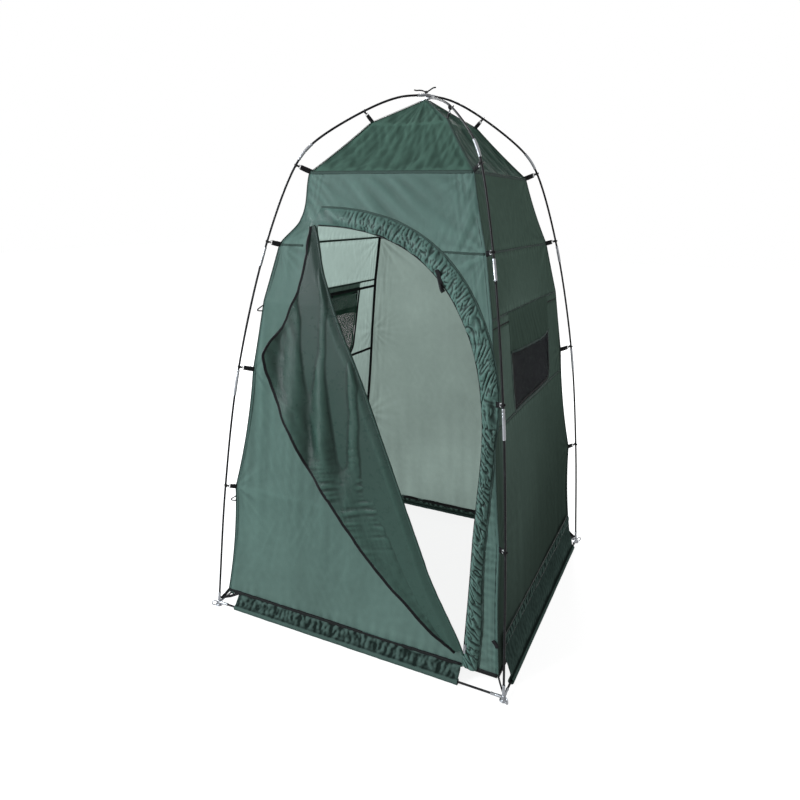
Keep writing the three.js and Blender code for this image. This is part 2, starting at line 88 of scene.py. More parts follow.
FOLD_TOP = (-0.275, 1.628)
FOLD_BOTTOM = (0.479, 0.108)
ARCH_SPRING_Z = 0.800
ARCH_ROUNDNESS = 2.45
ARCH_COVER_WIDTH = 0.062
DOOR_SEAM_Z = 1.550
FOLD_FORWARD = 0.004
FOLD_BOW = 0.028
FOLD_HIGH_BOW = 0.011
FLAP_SWING = math.radians(166)
WINDOW_Y = (-0.250, 0.300)
WINDOW_Z = (0.968, 1.296)
WINDOW_CORNER = 0.060
NET_GAP = 0.002
HOOD_Z = (1.190, 1.330)
HOOD_OUT = 0.030
SIDE_SKIRT_Z = 0.190
SKIRT_HALF = 0.560
FRONT_SKIRT_END = 0.474

LEGS = {"front_left": (-1, -1), "front_right": (1, -1), "back_right": (1, 1), "back_left": (-1, 1)}
UPPER_ARCH = ("front_left", "back_right")
SIDES = ("front", "right", "back", "left")
OUTWARD = {"front": (0, -1, 0), "right": (1, 0, 0), "back": (0, 1, 0), "left": (-1, 0, 0)}

# ---------------------------------------------------------------- camera


PHOTO_WIDTH_PX = 800


def turned_camera(azimuth, elevation, roll, target, distance, focal_px):
    """A camera that looks at a target; its three angles are in degrees."""
    a, e, r = (math.radians(x) for x in (azimuth, elevation, roll))
    back = Vector((math.sin(a) * math.cos(e), -math.cos(a) * math.cos(e), math.sin(e)))
    level = Vector((0, 0, 1)).cross(back).normalized()
    upright = back.cross(level)
    right = math.cos(r) * level + math.sin(r) * upright
    up = math.cos(r) * upright - math.sin(r) * level
    data = bpy.data.cameras.new("camera")
    data.sensor_width = 36
    data.lens = focal_px * data.sensor_width / PHOTO_WIDTH_PX
    camera = bpy.data.objects.new("camera", data)
    bpy.context.scene.collection.objects.link(camera)
    camera.matrix_world = Matrix.Translation(Vector(target) + back * distance) @ Matrix(
        (right, up, back)
    ).transposed().to_4x4()
    bpy.context.scene.camera = camera


turned_camera(
    azimuth=25.37, elevation=16.61, roll=0.97, target=(-0.091, 0, 0.854), distance=2.972, focal_px=651.6
)

# ---------------------------------------------------------------- numbers and noise


def unit(v):
    v = np.asarray(v, float)
    return v / np.maximum(np.linalg.norm(v, axis=-1, keepdims=True), 1e-12)


def smooth(x, start, end):
    t = np.clip((np.asarray(x, float) - start) / (end - start), 0, 1)
    return t * t * (3 - 2 * t)


NOISE_CELLS = 64


def noise(x, y, seed):
    """Smooth noise of about -1 to 1, one feature to a unit."""
    x, y = np.broadcast_arrays(np.asarray(x, float), np.asarray(y, float))
    angle = np.random.default_rng(seed).random((NOISE_CELLS, NOISE_CELLS)) * 2 * math.pi
    xi, yi = np.floor(x).astype(int), np.floor(y).astype(int)
    fx, fy = x - xi, y - yi

    def slope(dx, dy):
        a = angle[(xi + dx) % NOISE_CELLS, (yi + dy) % NOISE_CELLS]
        return np.cos(a) * (fx - dx) + np.sin(a) * (fy - dy)

    wx = fx**3 * (fx * (fx * 6 - 15) + 10)
    wy = fy**3 * (fy * (fy * 6 - 15) + 10)
    low = slope(0, 0) * (1 - wx) + slope(1, 0) * wx
    high = slope(0, 1) * (1 - wx) + slope(1, 1) * wx
    return 1.45 * (low * (1 - wy) + high * wy)


def creases(x, y, seed, sharp=3.0):
    """Narrow ridges on a flat ground, from 0 to 1."""
    return np.clip(1 - np.abs(noise(x, y, seed)), 0, 1) ** sharp


def turned(x, y, degrees):
    a = math.radians(degrees)
    return x * math.cos(a) + y * math.sin(a), -x * math.sin(a) + y * math.cos(a)


def distances(line):
    """How far each point of a line is from its start, along the line."""
    return np.concatenate([[0], np.cumsum(np.linalg.norm(np.diff(line, axis=0), axis=1))])


def evenly(line, count):
    """Points at even distances along a line."""
    along = distances(line)
    at = np.linspace(0, along[-1], count)
    return np.stack([np.interp(at, along, line[:, k]) for k in range(line.shape[1])], -1)


# The creases that packed taffeta keeps: their angle, length, width and height.
PACKING_CREASES = [
    (68, 0.30, 0.050, 0.0012),
    (-62, 0.26, 0.045, 0.0010),
    (12, 0.22, 0.060, 0.0008),
    (90, 0.40, 0.035, 0.0009),
]


def crumple(u, z, seed):
    """How far the small creases of packed taffeta stand up, in metres."""
    total = 0.0
    for i, (degrees, along, across, height) in enumerate(PACKING_CREASES):
        p, q = turned(u, z, degrees)
        patch = smooth(noise(u * 2.1, z * 2.1, seed + 40 + i), -0.25, 0.45)
        total = total + height * patch * creases(p / along, q / across, seed + i, 2.5)
    return total + 0.0005 * noise(u / 0.03, z / 0.035, seed + 9)


# ---------------------------------------------------------------- meshes


# A band's section, as shares of its width and its thickness: flat below, its top edges rounded off.
BAND_SECTION = [(-0.5, 0.0), (-0.46, 1.0), (-0.2, 1.12), (0.2, 1.12), (0.46, 1.0), (0.5, 0.0)]


class Form:
    """The points and faces of one piece, with a place in metres on the cloth for each point."""

    def __init__(self):
        self.points, self.faces, self.uv, self.crease = [], [], [], []
        self.count = 0

    def add(self, points, faces, uv=None, crease=None):
        points = np.asarray(points, float).reshape(-1, 3)
        self.points.append(points)
        self.uv.append(np.zeros((len(points), 2)) if uv is None else np.asarray(uv, float).reshape(-1, 2))
        self.crease.append(np.zeros(len(points)) if crease is None else np.asarray(crease, float).ravel())
        self.faces.extend(tuple(int(i) + self.count for i in face) for face in faces)
        self.count += len(points)

    def grid(self, points, uv=None, keep=None, around=False, crease=None):
        """Rows and columns of points as quads. keep picks cells; around joins the last column to the first."""
        rows, columns = points.shape[:2]
        at = np.arange(rows * columns).reshape(rows, columns)
        right = np.roll(at, -1, axis=1) if around else at[:, 1:]
        left = at if around else at[:, :-1]
        cells = np.stack([left[:-1], right[:-1], right[1:], left[1:]], -1)
        if keep is not None:
            cells = cells[keep]
        self.add(points, cells.reshape(-1, 4), uv, crease)

    def sheet(self, points, place, out, keep=None):
        """A grid of cloth whose faces look the way of `out`, with how far each fold stands proud.

        It gives back the points in the order that the faces took them."""
        faces = np.cross(points[1:, 1:] - points[:-1, :-1], points[1:, :-1] - points[:-1, 1:])
        if (faces @ np.asarray(out, float)).sum() < 0:
            points, place = points[:, ::-1], place[:, ::-1]
            keep = None if keep is None else keep[:, ::-1]
        self.grid(points, place, keep, crease=bulge(points))
        return points

    def closed(self, rings, uv=None, turned_in=True):
        """Rings of points as a skin with a flat face at each end."""
        start, (rows, sides) = self.count, rings.shape[:2]
        if turned_in:
            rings, uv = rings[:, ::-1], None if uv is None else uv[:, ::-1]
        self.grid(rings, uv, around=True)
        last = start + rows * sides - 1
        for end in (range(start, start + sides), range(last, last - sides, -1)):
            self.faces.append(tuple(end if turned_in else end[::-1]))

    def drop_loose(self):
        """Takes out the points that no face uses."""
        used = np.unique(np.concatenate([np.array(face) for face in self.faces]))
        new = np.full(self.count, -1)
        new[used] = np.arange(len(used))
        self.points = [np.concatenate(self.points)[used]]
        self.uv = [np.concatenate(self.uv)[used]]
        self.crease = [np.concatenate(self.crease)[used]]
        self.faces = [tuple(int(i) for i in new[list(face)]) for face in self.faces]
        self.count = len(used)

    def tube(self, line, radii, sides=12, flat=1.0, normal=None):
        """A closed tube along a line. flat scales its section across `normal`."""
        line = np.asarray(line, float)
        radii = np.broadcast_to(np.asarray(radii, float), (len(line),))
        tangent = unit(np.gradient(line, axis=0))
        first = normal if normal is not None else (0, 0, 1) if abs(tangent[0][2]) < 0.9 else (1, 0, 0)
        side = unit(np.cross(tangent[0], first))
        frames = []
        for t in tangent:
            side = unit(side - t * (side @ t))
            frames.append((side, np.cross(t, side)))
        angle = np.arange(sides) * 2 * math.pi / sides
        rings = [
            p + r * (np.outer(np.cos(angle), a) + flat * np.outer(np.sin(angle), b))
            for p, r, (a, b) in zip(line, radii, frames)
        ]
        uv = np.stack(np.broadcast_arrays(distances(line)[:, None], angle[None, :] * radii[:, None]), -1)
        self.closed(np.array(rings), uv)

    def strip(self, line, normal, width, thick, lift=0.0):
        """A flat closed band along a line, standing on the side that `normal` points to."""
        line = np.asarray(line, float)
        normal = np.broadcast_to(np.asarray(normal, float), line.shape)
        tangent = unit(np.gradient(line, axis=0))
        side = unit(np.cross(tangent, normal))
        normal = unit(np.cross(side, tangent))
        width = np.broadcast_to(np.asarray(width, float), (len(line),))[:, None]
        base = line + normal * lift
        rings = np.stack([base + side * width * a + normal * thick * b for a, b in BAND_SECTION], 1)
        across = np.array([a for a, _ in BAND_SECTION])
        uv = np.stack(np.broadcast_arrays(distances(line)[:, None], across[None, :]), -1)
        self.closed(rings, uv, turned_in=False)

    def object(self, name, material, slot, body="shelter", replaces=()):
        """The piece as a smooth mesh that rides on a body, or on none when it is given no body."""
        mesh = bpy.data.meshes.new(name)
        points = np.concatenate(self.points)
        mesh.from_pydata(points.tolist(), [], self.faces)
        corner = np.zeros(len(mesh.loops), np.int32)
        mesh.loops.foreach_get("vertex_index", corner)
        layer = mesh.uv_layers.new(name="cloth")
        layer.data.foreach_set("uv", np.concatenate(self.uv)[corner].astype(np.float32).ravel())
        attribute = mesh.attributes.new("crease", "FLOAT", "POINT")
        attribute.data.foreach_set("value", np.concatenate(self.crease).astype(np.float32))
        mesh.polygons.foreach_set("use_smooth", np.full(len(mesh.polygons), True))
        mesh.materials.append(material)
        mesh.update()
        made = bpy.data.objects.new(name, mesh)
        bpy.context.scene.collection.objects.link(made)
        if body:
            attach(made, body)
        if replaces:
            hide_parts(*replaces)
        return made


def bulge(points):
    """How far each point of a grid stands proud of its neighbours, in millimetres, for wear and painted light
    on the folds and painted shade in their hollows.
    """
    p = np.pad(points, ((2, 2), (2, 2), (0, 0)), mode="edge")
    around = (p[4:, 2:-2] + p[:-4, 2:-2] + p[2:-2, 4:] + p[2:-2, :-4]) / 4
    across = unit(np.cross(np.gradient(points, axis=1), np.gradient(points, axis=0)))
    return np.clip(np.einsum("ijk,ijk->ij", points - around, across) * 1000, -2, 2)


# ---------------------------------------------------------------- materials

WEAVE_PITCH = 0.0011
STITCH_PITCH = 0.0042
MESH_PITCH = 0.0013


class Look:
    """A material's nodes, with short calls to add and link them."""

    def __init__(self, name):
        self.material = bpy.data.materials.new(name)
        self.material.use_nodes = True
        self.nodes = self.material.node_tree.nodes
        self.links = self.material.node_tree.links
        self.shader = self.nodes["Principled BSDF"]
        self.output = self.nodes["Material Output"]

    def node(self, kind, inputs=(), **settings):
        made = self.nodes.new(kind)
        for key, value in settings.items():
            setattr(made, key, value)
        for key, value in dict(inputs).items():
            self.put(made.inputs[key], value)
        return made

    def put(self, socket, value):
        if isinstance(value, bpy.types.NodeSocket):
            self.links.new(value, socket)
        else:
            socket.default_value = value

    def maths(self, operation, a, b=0.0, c=0.0):
        made = self.node("ShaderNodeMath", operation=operation)
        for socket, value in zip(made.inputs, (a, b, c)):
            self.put(socket, value)
        return made.outputs[0]

    def product(self, *factors):
        total = factors[0]
        for factor in factors[1:]:
            total = self.maths("MULTIPLY", total, factor)
        return total

    def noise(self, scale, detail=3.0, roughness=0.55, stretch=None):
        at = self.coordinates()
        if stretch:
            at = self.node("ShaderNodeMapping", {"Vector": at, "Scale": stretch}).outputs[0]
        inputs = {"Vector": at, "Scale": scale, "Detail": detail, "Roughness": roughness}
        return self.node("ShaderNodeTexNoise", inputs).outputs["Fac"]

    def coordinates(self):
        return self.node("ShaderNodeTexCoord").outputs["Object"]

    def place(self):
        """The place on the cloth in metres, along and across."""
        cloth = self.node("ShaderNodeUVMap", uv_map="cloth").outputs[0]
        split = self.node("ShaderNodeSeparateXYZ", {0: cloth})
        return split.outputs[0], split.outputs[1]

    def ramp(self, value, low, high, to_low=0.0, to_high=1.0):
        inputs = {"Value": value, "From Min": low, "From Max": high, "To Min": to_low, "To Max": to_high}
        return self.node("ShaderNodeMapRange", inputs).outputs[0]

    def mix(self, share, a, b, blend="MIX"):
        made = self.node("ShaderNodeMix", data_type="RGBA", blend_type=blend)
        for name, value in (("Factor_Float", share), ("A_Color", a), ("B_Color", b)):
            self.put(next(s for s in made.inputs if s.identifier == name), value)
        return next(s for s in made.outputs if s.identifier == "Result_Color")

    def tinted(self, colour, tone):
        """A displayed colour, made darker or lighter by a tone."""
        grey = self.node("ShaderNodeCombineColor", {0: tone, 1: tone, 2: tone}).outputs[0]
        return self.mix(1.0, linear(colour), grey, "MULTIPLY")

    def bump(self, height, distance, strength=1.0, normal=None):
        inputs = {"Height": height, "Distance": distance, "Strength": strength}
        if normal is not None:
            inputs["Normal"] = normal
        return self.node("ShaderNodeBump", inputs).outputs[0]

    def waves(self, x, period):
        return self.maths("SINE", self.maths("MULTIPLY", x, 2 * math.pi / period))

    def threads(self, x, period, share):
        """1 on a thread and 0 between two, a thread being that share of the period."""
        return self.maths("LESS_THAN", self.maths("FRACT", self.maths("DIVIDE", x, period)), share)

    def surface(self, gloss, **sockets):
        """Sets the shader's sockets, named with _ for a space, and gives the material."""
        for name, value in sockets.items():
            self.put(self.shader.inputs[name.replace("_", " ")], value)
        self.shader.inputs["Specular IOR Level"].default_value = gloss
        return self.material


def linear(colour):
    """A displayed colour, 0 to 255, as the linear RGBA that nodes take."""
    c = np.array(colour, float) / 255
    c = np.where(c <= 0.04045, c / 12.92, ((c + 0.055) / 1.055) ** 2.4)
    return (*c.tolist(), 1.0)


def cloth_look(
    name, colour, glow, through, roughness=0.42, gloss=0.22, mottle=0.10, fold_shade_and_wear_tones=(0.86, 1.16), shade_by_height=(1, 1)
):
    """Coated taffeta: a fine plain weave, painted shade in the folds' hollows, ridges lighter with wear and
    painted light, and light that comes through it.

    glow is the colour of the light that comes through, and through its share. The fold tones are a hollow's,
    painted shade, and a ridge's, wear and painted light; the height tones, at the hem and the shoulder, paint
    light and shade.
    """
    look = Look(name)
    along, across = look.place()
    small = look.noise(38.0, 4.0)
    threads = look.noise(900.0, 1.0, stretch=(1, 1, 0.06))
    fold_proud = look.node("ShaderNodeAttribute", attribute_name="crease").outputs["Fac"]
    height = look.node("ShaderNodeSeparateXYZ", {0: look.coordinates()}).outputs[2]
    tone = look.product(
        look.ramp(look.noise(1.7, 3.0), 0.3, 0.7, 1 - mottle, 1 + mottle),
        look.ramp(small, 0.3, 0.7, 0.97, 1.03),
        look.ramp(threads, 0.35, 0.65, 0.975, 1.025),
        # painted shade in the hollows of the folds, and wear with painted light on their ridges
        look.ramp(fold_proud, -0.6, 0.6, *fold_shade_and_wear_tones),
        # painted light and shade by height, from the hem to the shoulder
        look.ramp(height, 0.1, 1.75, *shade_by_height),
    )
    weave = look.product(look.waves(along, WEAVE_PITCH), look.waves(across, WEAVE_PITCH))
    crinkle = look.noise(120.0, 5.0, 0.6, stretch=(1, 1, 0.55))
    normal = look.bump(crinkle, 0.0012, 0.35, look.bump(weave, 0.00007))
    rough = look.ramp(small, 0.3, 0.7, roughness - 0.06, roughness + 0.08)
    look.surface(gloss, Base_Color=look.tinted(colour, tone), Roughness=rough, Normal=normal)

    inside = look.node("ShaderNodeBsdfTranslucent", {"Color": look.tinted(glow, tone), "Normal": normal})
    both = look.node("ShaderNodeMixShader", {0: through, 1: look.shader.outputs[0], 2: inside.outputs[0]})
    look.put(look.output.inputs["Surface"], both.outputs[0])
    return look.material


def tape_look(name, colour, thread, roughness=0.7, ribs=0.0016, stitches=True):
    """Webbing or seam tape: ribs across it and a row of stitches near each edge."""
    look = Look(name)
    along, across = look.place()
    mottle = look.noise(60.0, 4.0)
    base = look.tinted(colour, look.ramp(mottle, 0.3, 0.7, 0.85, 1.15))
    normal = look.bump(look.product(look.waves(along, ribs), look.waves(across, 0.12)), 0.00025)
    if stitches:
        from_row = look.maths("ABSOLUTE", look.maths("SUBTRACT", look.maths("ABSOLUTE", across), 0.34))
        threads = look.threads(along, STITCH_PITCH, 0.66)
        stitch = look.product(look.maths("LESS_THAN", from_row, 0.035), threads)
        base = look.mix(stitch, base, linear(thread))
        normal = look.bump(stitch, 0.0003, 0.8, normal)
    rough = look.ramp(mottle, 0.3, 0.7, roughness - 0.08, roughness + 0.08)
    return look.surface(0.12, Base_Color=base, Roughness=rough, Normal=normal)


def hard_look(
    name, colour, worn_colour, roughness, metallic=0.0, scratches=0.5, stretch=(1, 1, 0.08), gloss=0.5
):
    """Metal, glass fibre or moulded plastic, with fine scratches and rubbed spots."""
    look = Look(name)
    cloudy = look.noise(28.0, 5.0)
    fine = look.noise(700.0, 3.0, stretch=stretch)
    rubbed = look.product(look.ramp(cloudy, 0.52, 0.72), scratches)
    base = look.mix(rubbed, linear(colour), linear(worn_colour))
    rough = look.ramp(cloudy, 0.3, 0.7, roughness * 0.8, roughness * 1.3)
    rough = look.maths("ADD", rough, look.ramp(fine, 0.4, 0.6, -0.03, 0.05))
    normal = look.bump(fine, 0.00012, 0.5)
    look.shader.inputs["Metallic"].default_value = metallic
    return look.surface(gloss, Base_Color=base, Roughness=rough, Normal=normal)


def mesh_look(name, colour, thread):
    """Insect mesh: a fine net of threads that lets some light through."""
    look = Look(name)
    net = look.maths("MAXIMUM", *(look.threads(x, MESH_PITCH, thread) for x in look.place()))
    base = look.tinted(colour, look.ramp(look.noise(9.0, 3.0), 0.3, 0.7, 0.8, 1.25))
    look.shader.inputs["Roughness"].default_value = 0.85
    return look.surface(0.05, Base_Color=base, Alpha=net)


THROUGH_WALL = (138, 154, 147)

WALL = cloth_look("wall_cloth", (55, 75, 70), THROUGH_WALL, 0.25, gloss=0.08, mottle=0.16)
# A darker copy of the wall cloth for the side walls: painted shade.
SHADED_SIDE = cloth_look("shaded_side_cloth", (44, 58, 51), THROUGH_WALL, 0.22, 0.50, gloss=0.03, shade_by_height=(0.55, 1.45))
# This cloth and the one above are painted darker at the hem and lighter at the shoulder: painted shade and
# light by height.
SHADED = cloth_look("right_cloth", (45, 57, 51), (110, 126, 118), 0.10, 0.55, gloss=0.0, shade_by_height=(0.50, 1.45))
# The gathered cloth's hollows are painted much darker: painted shade in the gathers.
GATHER = cloth_look("gathered_cloth", (52, 72, 67), (110, 128, 120), 0.12, gloss=0.10, fold_shade_and_wear_tones=(0.3, 1.3))
ROOF = cloth_look("roof_cloth", (42, 60, 53), (80, 100, 92), 0.14, 0.60, gloss=0.02, fold_shade_and_wear_tones=(0.75, 1.3))
# The flap is painted darker towards its top: painted shade by height.
FLAP = cloth_look(
    "flap_cloth", (30, 46, 41), (90, 120, 108), 0.10, 0.30, gloss=0.12, fold_shade_and_wear_tones=(0.6, 1.35), shade_by_height=(1.5, 0.6)
)
# The skirt's hollows are painted dark and its ridges bright: painted shade and painted highlights on the
# ruffles.
SKIRT = cloth_look("skirt_cloth", (35, 46, 43), (60, 80, 72), 0.06, 0.60, gloss=0.0, fold_shade_and_wear_tones=(0.35, 1.9))
SEAM = tape_look("seam_tape", (38, 52, 48), (22, 31, 28), 0.75, 0.0030)
SKIRT_SEAM = tape_look("skirt_seam", (22, 31, 28), (12, 17, 15), 0.55, 0.0030)
BINDING = tape_look("binding", (13, 15, 15), (36, 38, 40), 0.75)
WEBBING = tape_look("webbing_tape", (11, 11, 13), (34, 35, 38), 0.7)
ZIP_TAPE = tape_look("zip_tape", (9, 9, 11), (26, 27, 30), 0.8, 0.0012)
ROD = hard_look("glass_fibre", (10, 10, 12), (34, 35, 38), 0.42, gloss=0.12)
STEEL = hard_look("plated_steel", (138, 140, 144), (96, 97, 98), 0.33, 1.0, 0.6, (1, 1, 0.4))
PLASTIC = hard_look("hook_plastic", (9, 9, 10), (26, 26, 28), 0.40, 0.0, 0.4, (1, 1, 1), 0.2)
RING = hard_look("ring_nylon", (150, 152, 152), (120, 122, 122), 0.35, 0.0, 0.4, (1, 1, 1))
TIE_ROPE = tape_look("tie_cord", (10, 10, 12), (10, 10, 12), 0.8, 0.0020, False)
# The two nets are probably of one kind: the right one's near-black is its own colour, and the left one's green
# is painted light.
NETS_LEFT_PAINTED_LIT = {"right": mesh_look("right_net", (8, 9, 14), 0.86), "left": mesh_look("left_net", (38, 64, 52), 0.75)}

# ---------------------------------------------------------------- poles


def spline(knots, t):
    """Points of a centripetal Catmull-Rom spline through the knots, for t from 0 to 1."""
    p = np.array(knots, float)
    ends = np.vstack([2 * p[0] - p[1], p, 2 * p[-1] - p[-2]])
    s = np.clip(np.asarray(t, float), 0, 1) * (len(p) - 1)
    i = np.minimum(np.floor(s).astype(int), len(p) - 2)
    w = (s - i)[..., None]
    p0, p1, p2, p3 = (ends[i + k] for k in range(4))
    gaps = ((p0, p1), (p1, p2), (p2, p3))
    d0, d1, d2 = (np.sqrt(np.linalg.norm(b - a, axis=-1, keepdims=True)) for a, b in gaps)
    m1 = ((p1 - p0) / d0 - (p2 - p0) / (d0 + d1) + (p2 - p1) / d1) * d1
    m2 = ((p2 - p1) / d1 - (p3 - p1) / (d1 + d2) + (p3 - p2) / d2) * d1
    return p1 + m1 * w + (3 * p2 - 3 * p1 - 2 * m1 - m2) * w**2 + (2 * p1 - 2 * p2 + m1 + m2) * w**3


def at_corner(leg, half, z):
    """Places on a leg's diagonal, half out along x and y."""
    sx, sy = LEGS[leg]
    half, z = np.broadcast_arrays(np.asarray(half, float), np.asarray(z, float))
    return np.stack([sx * half, sy * half, z], -1)


def leg_knots(leg):
    crown = CROWN_Z if leg in UPPER_ARCH else CROWN_Z - ARCH_STEP
    knots = [
        (BASE_HALF, BASE_POLE_Z),
        *HOOKS_ON_POLE[:4],
        (ELBOW_TOP_HALF, ELBOW_Z[1]),
        HOOKS_ON_POLE[4],
        (0.080, crown - 0.016),
        (0.0, crown),
    ]
    return at_corner(leg, *np.array(knots).T)


class Leg:
    """One leg pole's curve, and places on it."""

    def __init__(self, leg):
        self.knots = leg_knots(leg)
        self.t = np.linspace(0, 1, 6001)
        self.line = spline(self.knots, self.t)

    def at_height(self, z):
        return float(np.interp(z, self.line[:, 2], self.t))

    def at_half(self, half):
        """Where the pole is that far from the crown along x."""
        return float(np.interp(-half, -np.abs(self.line[:, 0]), self.t))

    def point(self, t):
        return spline(self.knots, np.array([t]))[0]

    def direction(self, t):
        return unit(self.point(min(t + 1e-4, 1)) - self.point(t - 1e-4))

    def stretch(self, start, end, steps):
        return spline(self.knots, np.linspace(start, end, steps + 1))


def crimped(form, line, radius, grip):
    """A metal ferrule along a line: a rolled mouth at its start, and two crimps where it grips the rod."""
    share = np.linspace(0, 1, len(line))
    profile = np.full(len(line), radius)
    profile += 0.00035 * np.exp(-(((share - 0.02) / 0.02) ** 2))
    for place in grip:
        profile -= 0.0009 * np.exp(-(((share - place) / 0.018) ** 2))
    profile[-1] = profile[0] = ROD_R + 0.0004
    profile[1] = profile[-2] = radius * 0.97
    form.tube(line, profile, 20)


def add_leg(leg):
    curve = Leg(leg)
    at = curve.at_height
    rods, metal = Form(), Form()
    foot = at(BASE_POLE_Z + FOOT_SOCKET - ROD_IN_SOCKET)
    crown = curve.at_half(CROWN_FERRULE_HALF * 0.6)
    for start, end, steps in (
        (foot, at(LOWER_FERRULE_Z[0] + 0.004), 46),
        (at(LOWER_FERRULE_Z[0] + 0.006), at(UPPER_FERRULE_Z[0] + 0.004), 30),
        (at(UPPER_FERRULE_Z[0] + 0.006), at(ELBOW_Z[0] + 0.005), 24),
        (at(ELBOW_Z[1] - 0.005), crown, 60),
    ):
        rods.tube(curve.stretch(start, end, steps), ROD_R, ROD_SIDES)
    for low, high in (LOWER_FERRULE_Z, UPPER_FERRULE_Z):
        crimped(metal, curve.stretch(at(low), at(high), 60), FERRULE_R, (0.78, 0.88))
    crimped(metal, curve.stretch(at(ELBOW_Z[0]), at(ELBOW_Z[1]), 60), ELBOW_R, (0.12, 0.88))
    names = [f"{leg}_{part}" for part in ("lower_rod", "middle_rod", "upper_rod", "roof_rod")]
    rods.object(f"poles_{leg}", ROD, "black_rod", replaces=names)
    metal.object(f"pole_metal_{leg}", STEEL, "steel", replaces=[f"{leg}_elbow"])
    return curve


CURVES = {leg: add_leg(leg) for leg in LEGS}


def add_crown_ferrule(name, leg_a, leg_b):
    a, b = CURVES[leg_a], CURVES[leg_b]
    near = a.stretch(a.at_half(CROWN_FERRULE_HALF), 1, 30)
    far = b.stretch(1, b.at_half(CROWN_FERRULE_HALF), 30)
    form = Form()
    crimped(form, np.vstack([near, far[1:]]), FERRULE_R, (0.08, 0.16, 0.84, 0.92))
    form.object(f"{name}_look", STEEL, "steel", replaces=[name])


add_crown_ferrule("upper_crown_ferrule", "front_left", "back_right")
add_crown_ferrule("lower_crown_ferrule", "front_right", "back_left")


def on_side(side, u, out, z):
    """Places on one side of the cabin: u runs along x or y, and out away from the middle."""
    u, out, z = np.broadcast_arrays(np.asarray(u, float), np.asarray(out, float), np.asarray(z, float))
    if side in ("front", "back"):
        return np.stack([u, out * OUTWARD[side][1], z], -1)
    return np.stack([out * OUTWARD[side][0], u, z], -1)


def add_base_rod(side):
    form = Form()
    reach = BASE_HALF - FOOT_SOCKET + ROD_IN_SOCKET
    form.tube(on_side(side, np.linspace(-reach, reach, 25), BASE_HALF, BASE_POLE_Z), ROD_R, ROD_SIDES)
    form.object(f"base_rod_{side}", ROD, "black_rod", replaces=[f"{side}_base_pole"])


for side in SIDES:
    add_base_rod(side)


def ring(form, centre, normal, ring_r, wire_r, sides, wire_sides, stretch=(1, 1)):
    """A closed round ring, or an oval one, of round wire."""
    n = unit(normal)
    a = unit(np.cross(n, (0, 0, 1) if abs(n[2]) < 0.9 else (1, 0, 0)))
    b = np.cross(n, a)
    t = np.arange(sides) * 2 * math.pi / sides
    w = np.arange(wire_sides) * 2 * math.pi / wire_sides
    spoke = np.outer(np.cos(t) * stretch[0], a) + np.outer(np.sin(t) * stretch[1], b)
    points = (
        np.asarray(centre, float)
        + spoke[:, None] * ring_r
        + unit(spoke)[:, None] * (wire_r * np.cos(w))[None, :, None]
        + n * (wire_r * np.sin(w))[None, :, None]
    )
    whole = np.concatenate([points, points[:1]], 0)
    form.grid(whole[:, ::-1], around=True)


# Heights and radii in millimetres, and for a socket the share of its length and its radius.
FOOT_PAD = [(0, 14.2), (0.3, 15.0), (1.8, 15.0), (3.2, 14.6), (3.8, 13.0), (4.0, 10.0)]
FOOT_STEM = [(3.5, 10.5), (6, 8.8), (8, 8.2), (21, 8.2), (23.5, 7.2), (24.5, 4.5)]
SOCKET_PROFILE = [
    *[(0, 5.8), (0.1, 5.8), (0.3, 5.8), (0.55, 5.8)],
    *[(0.62, 5.1), (0.66, 5.0), (0.70, 5.1)],
    *[(0.9, 5.6), (0.955, 5.9), (0.97, 6.2), (1.0, 6.0), (1.0, 4.6)],
]


def add_foot(leg):
    """The ground fitting: a domed pad, a stem, three drawn sockets with rolled mouths, and the peg's eye."""
    sx, sy = LEGS[leg]
    centre = at_corner(leg, BASE_HALF, BASE_POLE_Z)
    form = Form()
    for profile, sides in ((FOOT_PAD, 32), (FOOT_STEM, 24)):
        height, radius = np.array(profile).T / 1000
        form.tube(at_corner(leg, BASE_HALF, height), radius, sides, normal=(1, 0, 0))
    share, radius = np.array(SOCKET_PROFILE).T
    curve = CURVES[leg]
    up = curve.point(curve.at_height(BASE_POLE_Z + FOOT_SOCKET))
    for end in (centre - (sx * FOOT_SOCKET, 0, 0), centre - (0, sy * FOOT_SOCKET, 0), up):
        form.tube(centre + (end - centre) * share[:, None], radius / 1000, 20)
    diagonal = unit((sx, sy, 0))
    eye = centre + diagonal * 0.0195
    ring(form, eye, np.cross(diagonal, (0, 0, 1)), 0.0105, 0.0024, 36, 12)
    form.object(f"foot_fitting_{leg}", STEEL, "steel", replaces=[f"{leg}_foot"])


for leg in LEGS:
    add_foot(leg)

# ---------------------------------------------------------------- crown tie

TIE_R = 0.0026
KNOT_R = 0.0022
TIE_BASE_Z = CROWN_Z + FERRULE_R + 0.0003
TIE_ENDS = {
    "left": [(-6, -2, 6), (-14, -6, 9), (-24, -11, 10), (-34, -16, 9), (-43, -20, 11)],
    "right": [(6, 2, 6), (13, 6, 11), (20, 9, 16), (27, 12, 20), (36, 15, 21)],
}


